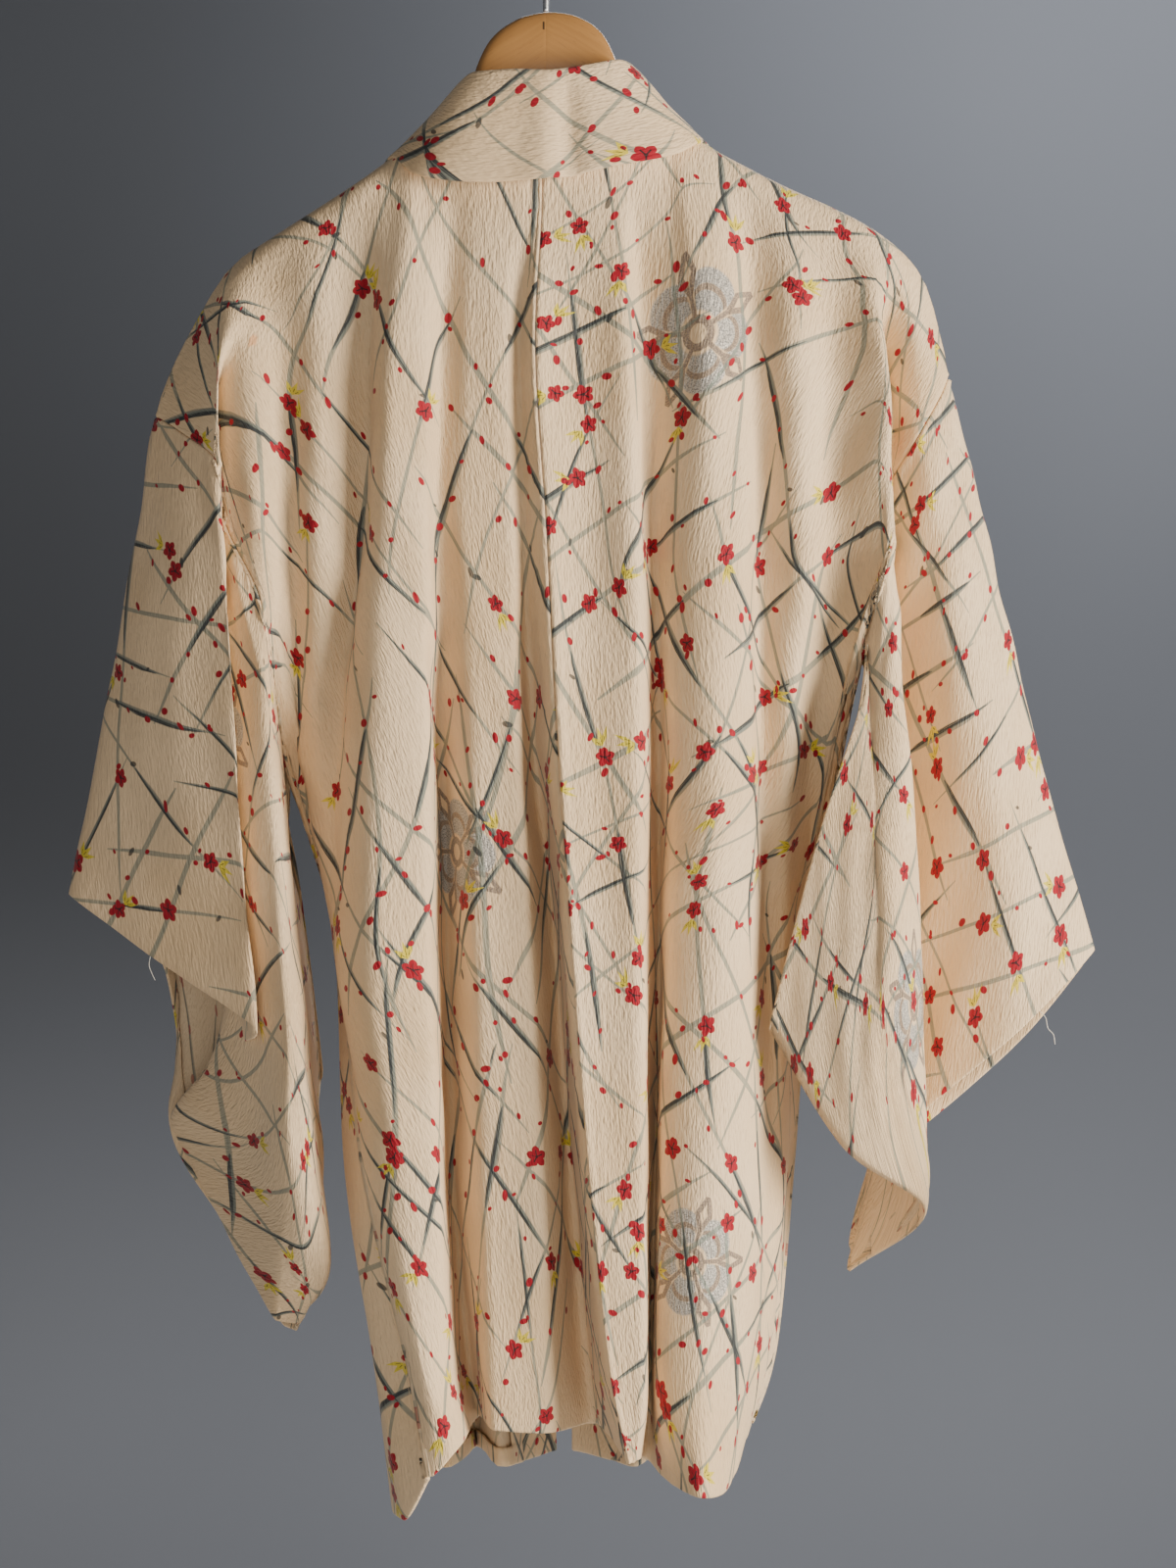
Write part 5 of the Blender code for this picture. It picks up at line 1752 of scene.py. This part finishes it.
@dataclass
class Hanger:
    """The contoured wooden arms, their middle joint, and the steel hook."""

    sections: tuple[WoodSection, ...]
    tilt: float = 0.065
    sides: int = 28
    corner: float = 0.85        # power that squares a round section a little
    groove: float = 0.08        # mm deep, where the arms are glued
    groove_reach: float = 0.6
    wire: float = 3.4
    wire_sides: int = 16
    round_radius: float = 21.7
    tip_angle: float = -20.0
    neck_angle: float = 200.0
    neck: tuple[tuple[float, float], ...] = ((-14.5, -38.5), (-6.0, -47.0), (-1.0, -55.0), (0.0, -62.0),
                                             (0.0, -70.0))
    shank_sink: float = 0.3
    arm_rings: int = 92         # on each side of the groove
    arc_steps: int = 64
    wire_rings: int = 110
    tip_rings: int = 5

    def build_arms(self) -> Piece:
        """Loft both arms through rounded sections, with a fine groove where they meet.

        Returns:
            The wood, in one piece.
        """
        halves = [(part.x, part.top, part.height, part.depth) for part in self.sections]
        table = np.array([(-x, *rest) for x, *rest in halves[:0:-1]] + halves, float)
        arm = np.linspace(2, halves[-1][0], self.arm_rings)
        xs = np.concatenate((-arm[::-1], (-0.7, -0.35, 0.0, 0.35, 0.7), arm))
        tops, heights, depths = pchip(table[:, 0], table[:, 1:], xs).T

        def section(ring: int, x: float, y: float) -> Array:
            """A place on one section of the arms."""
            sunk = self.groove * max(0.0, 1 - abs(xs[ring]) / self.groove_reach)
            middle = tops[ring] + heights[ring] / 2 - self.tilt * xs[ring]
            across = np.sign(x) * abs(x) ** self.corner * (depths[ring] / 2 - sunk)
            return place(np.array((xs[ring], middle - y * (heights[ring] / 2 - sunk), across)))

        bm = bmesh.new()
        loft(bm, self.sides, 1, len(xs), section)
        return self._fitted("wooden_hanger_arms", "hanger_wood", bm, Wood().material())

    def build_hook(self) -> Piece:
        """Sweep a round section along the hook, with a rounded tip.

        Returns:
            The hook.
        """
        centre = self.wire / 2 - self.round_radius
        arc = [(self.round_radius * math.cos(angle), centre + self.round_radius * math.sin(angle))
               for angle in np.radians(np.linspace(self.tip_angle, self.neck_angle, self.arc_steps))]
        route = np.array([*arc, *self.neck, (0.0, self.shank_sink - WOOD_TOP_DROP)])
        run = lengths(route)
        route = pchip(run, route, np.linspace(0, run[-1], self.wire_rings))
        path = unit(np.gradient(route, axis=0))
        radii = np.full(len(route), self.wire / 2)
        radii[:self.tip_rings] *= np.sin(np.linspace(0.15, math.pi / 2, self.tip_rings))

        def section(ring: int, x: float, y: float) -> Array:
            """A place on one ring of the wire."""
            (left, up), (along_x, along_z), across = route[ring], path[ring], x * radii[ring]
            return np.array((left - along_z * across, y * radii[ring], up + along_x * across)) * MM

        bm = bmesh.new()
        loft(bm, self.wire_sides, 1, len(route), section)
        return self._fitted("steel_hook", "hanger_hook", bm, brushed_steel())

    @staticmethod
    def _fitted(name: str, node: str, bm: Shape, finish: Material) -> Piece:
        """Turn a closed shape into a smooth piece that replaces its node.

        Args:
            name: the piece's name.
            node: the solid it replaces.
            bm: its shape.
            finish: its only material.

        Returns:
            The piece.
        """
        bmesh.ops.recalc_face_normals(bm, faces=bm.faces)
        piece = finished(name, bm, [finish])
        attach(piece, "root")
        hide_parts(node)
        return piece


@dataclass
class LooseThreads:
    """Frayed ends of sewing thread that hang from the cuffs, as table points (x, drop, y)."""

    routes: tuple[tuple[tuple[float, float, float], ...], ...] = (
        ((299.5, 606.0, -2.5), (303.0, 610.5, -5.0), (304.0, 616.0, -6.0), (307.5, 620.5, -6.5),
         (308.5, 626.5, -6.0)),
        ((-238.0, 572.5, -19.0), (-238.5, 577.0, -21.5), (-237.0, 582.0, -22.0), (-234.5, 587.0, -22.5)))
    radius: float = 0.22
    sides: int = 6
    spacing: float = 0.6

    def build(self) -> Piece:
        """Sweep a thin round section along each route and close both its ends.

        Returns:
            The threads, in one piece.
        """
        bm = bmesh.new()
        for route in map(np.array, self.routes):
            run = lengths(route)
            path = pchip(run, route, np.arange(0, run[-1], self.spacing))
            along = unit(np.gradient(path, axis=0))
            first = unit(np.cross(along, np.array((0.0, 0.0, 1.0))))
            second = np.cross(along, first)
            loft(bm, self.sides, self.radius, len(path),
                 lambda ring, x, y: place(path[ring] + x * first[ring] + y * second[ring]))
        bmesh.ops.recalc_face_normals(bm, faces=bm.faces)
        threads = finished("loose_threads", bm, [spun_silk()], rounded=False)
        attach(threads, "root")
        return threads


@dataclass
class Studio:
    """A pale floor, a grey wall far behind with painted light and shade, soft lights and the camera."""

    target: tuple[float, float, float] = (0.0256, 0.0, -0.5565)
    distance: float = 2.4
    seen_height: float = 0.952
    film_height: float = 36.0
    floor: float = -1.78
    wall: float = 3.3
    room_size: float = 12.0

    def build(self) -> None:
        """Set up the room, the lights and the camera."""
        self._plane("studio_floor", (0, 0, self.floor), 0, (0.62, 0.61, 0.60))
        # The wall's paint carries painted light and shade: darker at the left, lighter at the right and at
        # the bottom.
        self._plane("studio_wall", (0, self.wall, 0.0), math.pi / 2, (0.15, 0.159, 0.18),
                    ((0.50, 0.38, 1.50), (1.35, 0.98, 1.75)))
        world = bpy.data.worlds.new("studio_world")
        world.use_nodes = True
        world.node_tree.nodes["Background"].inputs[0].default_value = (0.90, 0.94, 1.0, 1)
        world.node_tree.nodes["Background"].inputs[1].default_value = 0.12
        bpy.context.scene.world = world
        self._light("window", (1.95, -1.12, -0.42), 1.0, 106.0, (1.0, 0.95, 0.87))
        self._light("sky_fill", (-0.4, -2.5, -1.05), 1.6, 18.0, (1.0, 0.96, 0.93))
        self._light("wall_wash", (0.9, 2.0, 0.9), 1.5, 26.0, (0.93, 0.96, 1.0), (0.9, self.wall, 0.2))
        self._light("front_fill", (0.6, 2.6, 0.4), 1.6, 45.0, (1.0, 0.98, 0.95))
        camera = bpy.data.cameras.new("view")
        camera.sensor_fit = "VERTICAL"
        camera.sensor_height = self.film_height
        camera.lens = self.film_height * self.distance / self.seen_height
        camera.dof.use_dof = False
        holder = into_scene("view", camera)
        holder.location = (self.target[0], self.target[1] - self.distance, self.target[2])
        holder.rotation_euler = (math.pi / 2, 0, 0)
        bpy.context.scene.camera = holder

    def _plane(self, name: str, where: Sequence[float], tilt: float, colour: Sequence[float],
               painted_light: Sequence[Sequence[float]] = ()) -> None:
        """A flat piece of the room, part of the stage.

        Args:
            name: its name.
            where: its middle.
            tilt: its turn about X.
            colour: of its paint.
            painted_light: painted light and shade, as the paint's strength at top, middle and bottom, at the
                left and at the right; darkest at the left of the middle, lighter at the right and at the
                bottom.
        """
        wiring = Finish(name + "_paint")
        spot = wiring.spot()
        x, y, _ = wiring.split(spot)
        strength = wiring.noise(spot, 0.9, 2.0) * 0.24 + 0.88
        # Painted light and shade over the wall, lighter at the right and at the bottom; the noise above is
        # the paint's own uneven tone.
        if painted_light:
            high, low = wiring.step(y, -0.5, 0.5), wiring.step(y, -0.5, -1.6)
            left, right = ((top - middle) * high + (bottom - middle) * low + middle
                           for top, middle, bottom in painted_light)
            strength = strength * (left + (right - left) * wiring.step(x, -0.8, 0.85))
        base = wiring.blend(strength * 0.5, (0.0, 0.0, 0.0), tuple(part * 2 for part in colour))
        bm = bmesh.new()
        bmesh.ops.create_grid(bm, x_segments=1, y_segments=1, size=self.room_size / 2)
        plane = finished(name, bm, [wiring.surface({"Base Color": base, "Roughness": 0.9})], rounded=False)
        plane.location = where
        plane.rotation_euler = (tilt, 0, 0)

    def _light(self, name: str, where: Sequence[float], size: float, power: float,
               colour: Sequence[float], aim: Sequence[float] | None = None) -> None:
        """A square soft light.

        Args:
            name: its name.
            where: its middle.
            size: of its side, in metres.
            power: in watts.
            colour: in linear light.
            aim: what it faces, or None for the garment.
        """
        lamp = bpy.data.lights.new(name, "AREA")
        lamp.shape = "SQUARE"
        lamp.size = size
        lamp.energy = power
        lamp.color = colour
        holder = into_scene(name, lamp)
        holder.location = where
        towards = Vector(aim or self.target) - Vector(where)
        holder.rotation_euler = towards.to_track_quat("-Z", "Y").to_euler()


BODY_LEFT_BRANCHES = table(
    Branch, (31, 1.3, 0.035), (-30, 2.1, 0.035), (24, 5.2, 0.062, 0.8, 0.2), (-41, 7.4, 0.068, 0.75, 0.2),
    (5, 9.6, 0.062, 0.7, 0.08))
BODY_RIGHT_BRANCHES = table(
    Branch, (62, 11.7, 0.036), (-10, 12.9, 0.036), (30, 14.2, 0.056, 0.85, 0.25),
    (-33, 16.8, 0.058, 0.85, 0.2), (-52, 18.9, 0.062, 0.7, 0.08))
SLEEVE_LEFT_BRANCHES = table(
    Branch, (-70, 21.3, 0.036), (-12, 22.8, 0.036), (24, 24.9, 0.060, 0.8, 0.2),
    (80, 26.4, 0.064, 0.75, 0.15))
SLEEVE_RIGHT_BRANCHES = table(
    Branch, (83, 31.5, 0.036), (17, 32.4, 0.036), (72, 35.1, 0.060, 0.8, 0.2),
    (-7, 37.7, 0.064, 0.75, 0.15))
COLLAR_BRANCHES = table(
    Branch, (38, 41.2, 0.028), (-42, 43.3, 0.028), (29, 45.9, 0.046, 0.8, 0.2),
    (-51, 47.2, 0.052, 0.75, 0.15), (44, 48.6, 0.034, 0.8, 0.1), (-36, 49.7, 0.036, 0.8, 0.1))
GUSSET_BRANCHES = table(
    Branch, (28, 51.2, 0.045), (-31, 53.3, 0.045), (70, 55.9, 0.075, 0.7, 0.15))

BACK_LEFT_CREASES = creases(
    (-22, 40, -34, 290, 10, 1.1, 5), (-54, 20, -66, 230, 11, -1.3, -4), (-103, 50, -121, 340, 11, 1.3),
    (-164, 60, -150, 270, 9, -1.2, 8), (-214, 100, -181, 300, 10, 1.5, 12),
    (-302, 250, -214, 335, 6, -1.5, 8), (-304, 300, -233, 410, 7, 1.5, 10),
    (-298, 340, -226, 485, 8, -1.3, 6), (-88, 420, -79, 700, 13, 1.1, 10),
    (-190, 450, -171, 720, 12, -1.2, -10), (-45, 500, -36, 760, 9, 0.9), (-131, 600, -117, 670, 6, -0.8),
    (-256, 560, -239, 640, 6, 0.8))
BACK_RIGHT_CREASES = creases(
    (18, 30, 27, 240, 9, -1.0, 4), (47, 20, 61, 310, 12, 1.2, -5), (92, 40, 104, 220, 10, -1.4),
    (146, 70, 158, 330, 12, 1.4, -7), (207, 60, 186, 250, 9, -1.2, -9), (251, 110, 214, 310, 11, 1.6, -10),
    (305, 240, 221, 345, 6, 1.5, -8), (301, 290, 238, 400, 6, -1.6, -10), (303, 330, 217, 510, 9, 1.3, -6),
    (72, 470, 83, 730, 12, -1.0, -8), (137, 400, 152, 660, 11, 1.2, 9), (198, 520, 188, 740, 10, -0.9),
    (112, 550, 125, 610, 6, 0.8), (262, 580, 247, 650, 6, -0.8))
FRONT_LEFT_CREASES = creases(
    (-118, -60, -131, -320, 10, 1.2, 6), (-171, -80, -162, -290, 9, -1.3, -7),
    (-301, -260, -219, -350, 6, 1.5, -8), (-298, -310, -229, -430, 7, -1.4, -9),
    (-146, -440, -138, -710, 12, 1.0, 8), (-222, -500, -209, -700, 10, -1.1))
FRONT_RIGHT_CREASES = creases(
    (122, -50, 134, -270, 10, -1.2, 6), (183, -90, 169, -330, 10, 1.4, 8),
    (303, -250, 226, -360, 6, -1.5, 8), (299, -300, 235, -440, 7, 1.4, 10),
    (151, -420, 143, -680, 12, -1.0, -8), (231, -480, 214, -730, 11, 1.1))
SLEEVE_LEFT_CREASES = creases(
    (-326, 55, -392, 105, 6, 1.4, 6), (-326, 85, -378, 155, 5, -1.9, 5), (-327, 110, -366, 185, 4, 1.8, 4),
    (-329, 140, -361, 225, 5, -1.6, 4), (-345, 30, -560, 50, 12, 1.3, 10),
    (-372, 75, -610, 135, 13, -1.2, 12), (-420, 190, -630, 225, 11, 1.1, -8),
    (-365, 300, -580, 345, 12, -1.2, 10), (-470, 400, -620, 425, 9, 0.9),
    (-350, -70, -590, -110, 13, 1.2, 10), (-330, -150, -400, -235, 6, -1.5, 6),
    (-390, -260, -600, -310, 12, -1.1, -10))
SLEEVE_RIGHT_CREASES = creases(
    (327, 60, 385, 118, 6, -1.6, -5), (328, 100, 371, 165, 5, 1.7, -4), (329, 130, 362, 205, 5, -1.8, -4),
    (350, 25, 585, 40, 12, -1.1, -10), (385, 60, 620, 105, 12, 1.3, -12), (410, 170, 605, 215, 12, -1.2, 9),
    (352, 255, 560, 330, 13, 1.2, -10), (455, 385, 630, 415, 10, -1.0), (345, -60, 575, -95, 12, -1.2, -10),
    (331, -140, 392, -245, 6, 1.5, -6), (400, -240, 615, -300, 12, 1.1, 10))
COLLAR_CREASES = creases(
    (50, 10, 156, 5, 6, -4.6), (50, -5, 156, -10, 7, 2.6), (80, 60, 133, 74, 6, 0.7, 3),
    (78, -58, 134, -79, 7, -0.7, 3), (82, 120, 128, 150, 6, -0.8, 4), (79, -128, 127, -149, 5, 0.8, 3),
    (20, 80, 58, 104, 6, 0.8), (22, -83, 57, -101, 6, -0.8), (85, 390, 131, 452, 7, 0.8, 4),
    (84, -402, 130, -448, 6, -0.8, 4), (30, 610, 55, 742, 8, -0.7), (31, -601, 54, -757, 8, 0.7))
GUSSET_CREASES = creases(
    (10, 30, 48, 110, 5, 0.9, 3), (-10, 30, -48, 100, 5, -0.9, 3), (28, 160, 34, 330, 8, -0.8),
    (-28, 140, -34, 350, 8, 0.8))


def dressed(bench: DyeBench, name: str, branches: tuple[Branch, ...], *medallions: Medallion,
            **looks: object) -> tuple[Material, Material]:
    """The two sides of one cloth: the print, and the paler inside where it shows through.

    Args:
        bench: the recipes.
        name: the piece's.
        branches: families of branches; the first two show through.
        medallions: flower heads on the right side.
        looks: other fields of the right side's crepe.

    Returns:
        Finishes of the right side and of the inside.
    """
    right = Crepe("crepe_" + name, branches, medallions, **looks)
    wrong = Crepe(right.name + "_inside", branches[:2], ground=(0.71, 0.54, 0.345), strength=0.55,
                  crinkle_lean=right.crinkle_lean)
    return right.material(bench), wrong.material(bench)


def main() -> None:
    """Build and dress every piece, then the room."""
    logging.basicConfig(level=logging.INFO, format="%(message)s")
    log = logging.getLogger("haori")
    garment = Garment(
        Drape(Side.LEFT, BACK_LEFT, BACK_LEFT_SIDE, FRONT_LEFT, FRONT_LEFT_SIDE, GUSSET_LEFT_MIDDLE,
              SLEEVE_LEFT, -6, 8.6),
        Drape(Side.RIGHT, BACK_RIGHT, BACK_RIGHT_SIDE, FRONT_RIGHT, FRONT_RIGHT_SIDE, GUSSET_RIGHT_MIDDLE,
              SLEEVE_RIGHT, 5, 8.5),
        COLLAR)
    bench = DyeBench(BranchBrush().recipe(), medallion_recipe(), crinkle_recipe())
    hanging = Ripple(0.042, 0.55, 0.30, 3)
    slack = Ripple(0.095, 0.16, 0.40, 8)
    pieces = [
        BodyPanel(garment, dressed(bench, "body_left", BODY_LEFT_BRANCHES,
                                   Medallion(-0.13, 0.41, 0.040, 0.1), stain=(-0.203, 0.104)),
                  (hanging, slack, *BACK_LEFT_CREASES), Side.LEFT,
                  (Ripple(0.05, 0.5, 0.4, 12), slack, *FRONT_LEFT_CREASES), 100),
        BodyPanel(garment, dressed(bench, "body_right", BODY_RIGHT_BRANCHES,
                                   Medallion(0.10, 0.11, 0.041, 0.3), Medallion(0.16, 0.66, 0.040, 0.0)),
                  (hanging, slack, *BACK_RIGHT_CREASES), Side.RIGHT,
                  (Ripple(0.05, 0.5, 0.4, 14), slack, *FRONT_RIGHT_CREASES), 200),
        *(Gusset(garment, dressed(bench, "gusset_" + side.name.lower(), GUSSET_BRANCHES),
                 (hanging, *GUSSET_CREASES), side) for side in Side),
        Sleeve(garment, dressed(bench, "sleeve_left", SLEEVE_LEFT_BRANCHES,
                                Medallion(-0.44, 0.16, 0.040, 0.2), crinkle_lean=68.0),
               (Ripple(0.06, 0.2, 0.35, 5, 60), slack, *SLEEVE_LEFT_CREASES), Side.LEFT, 300),
        Sleeve(garment, dressed(bench, "sleeve_right", SLEEVE_RIGHT_BRANCHES,
                                Medallion(0.53, 0.30, 0.038, 0.0), crinkle_lean=-62.0),
               (Ripple(0.06, 0.2, 0.35, 6, -50), slack, *SLEEVE_RIGHT_CREASES), Side.RIGHT, 400),
        Collar(garment, dressed(bench, "collar", COLLAR_BRANCHES),
               (Ripple(0.05, 0.10, 0.25, 9), *COLLAR_CREASES)),
    ]
    hanger = Hanger(HANGER)
    for build in (*(piece.build for piece in pieces), hanger.build_arms, hanger.build_hook,
                  LooseThreads().build):
        made = build()
        log.info("%s: %d faces before any wall", made.name, len(made.data.polygons))
    Studio().build()
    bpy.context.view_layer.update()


if __name__ == "__main__":
    main()
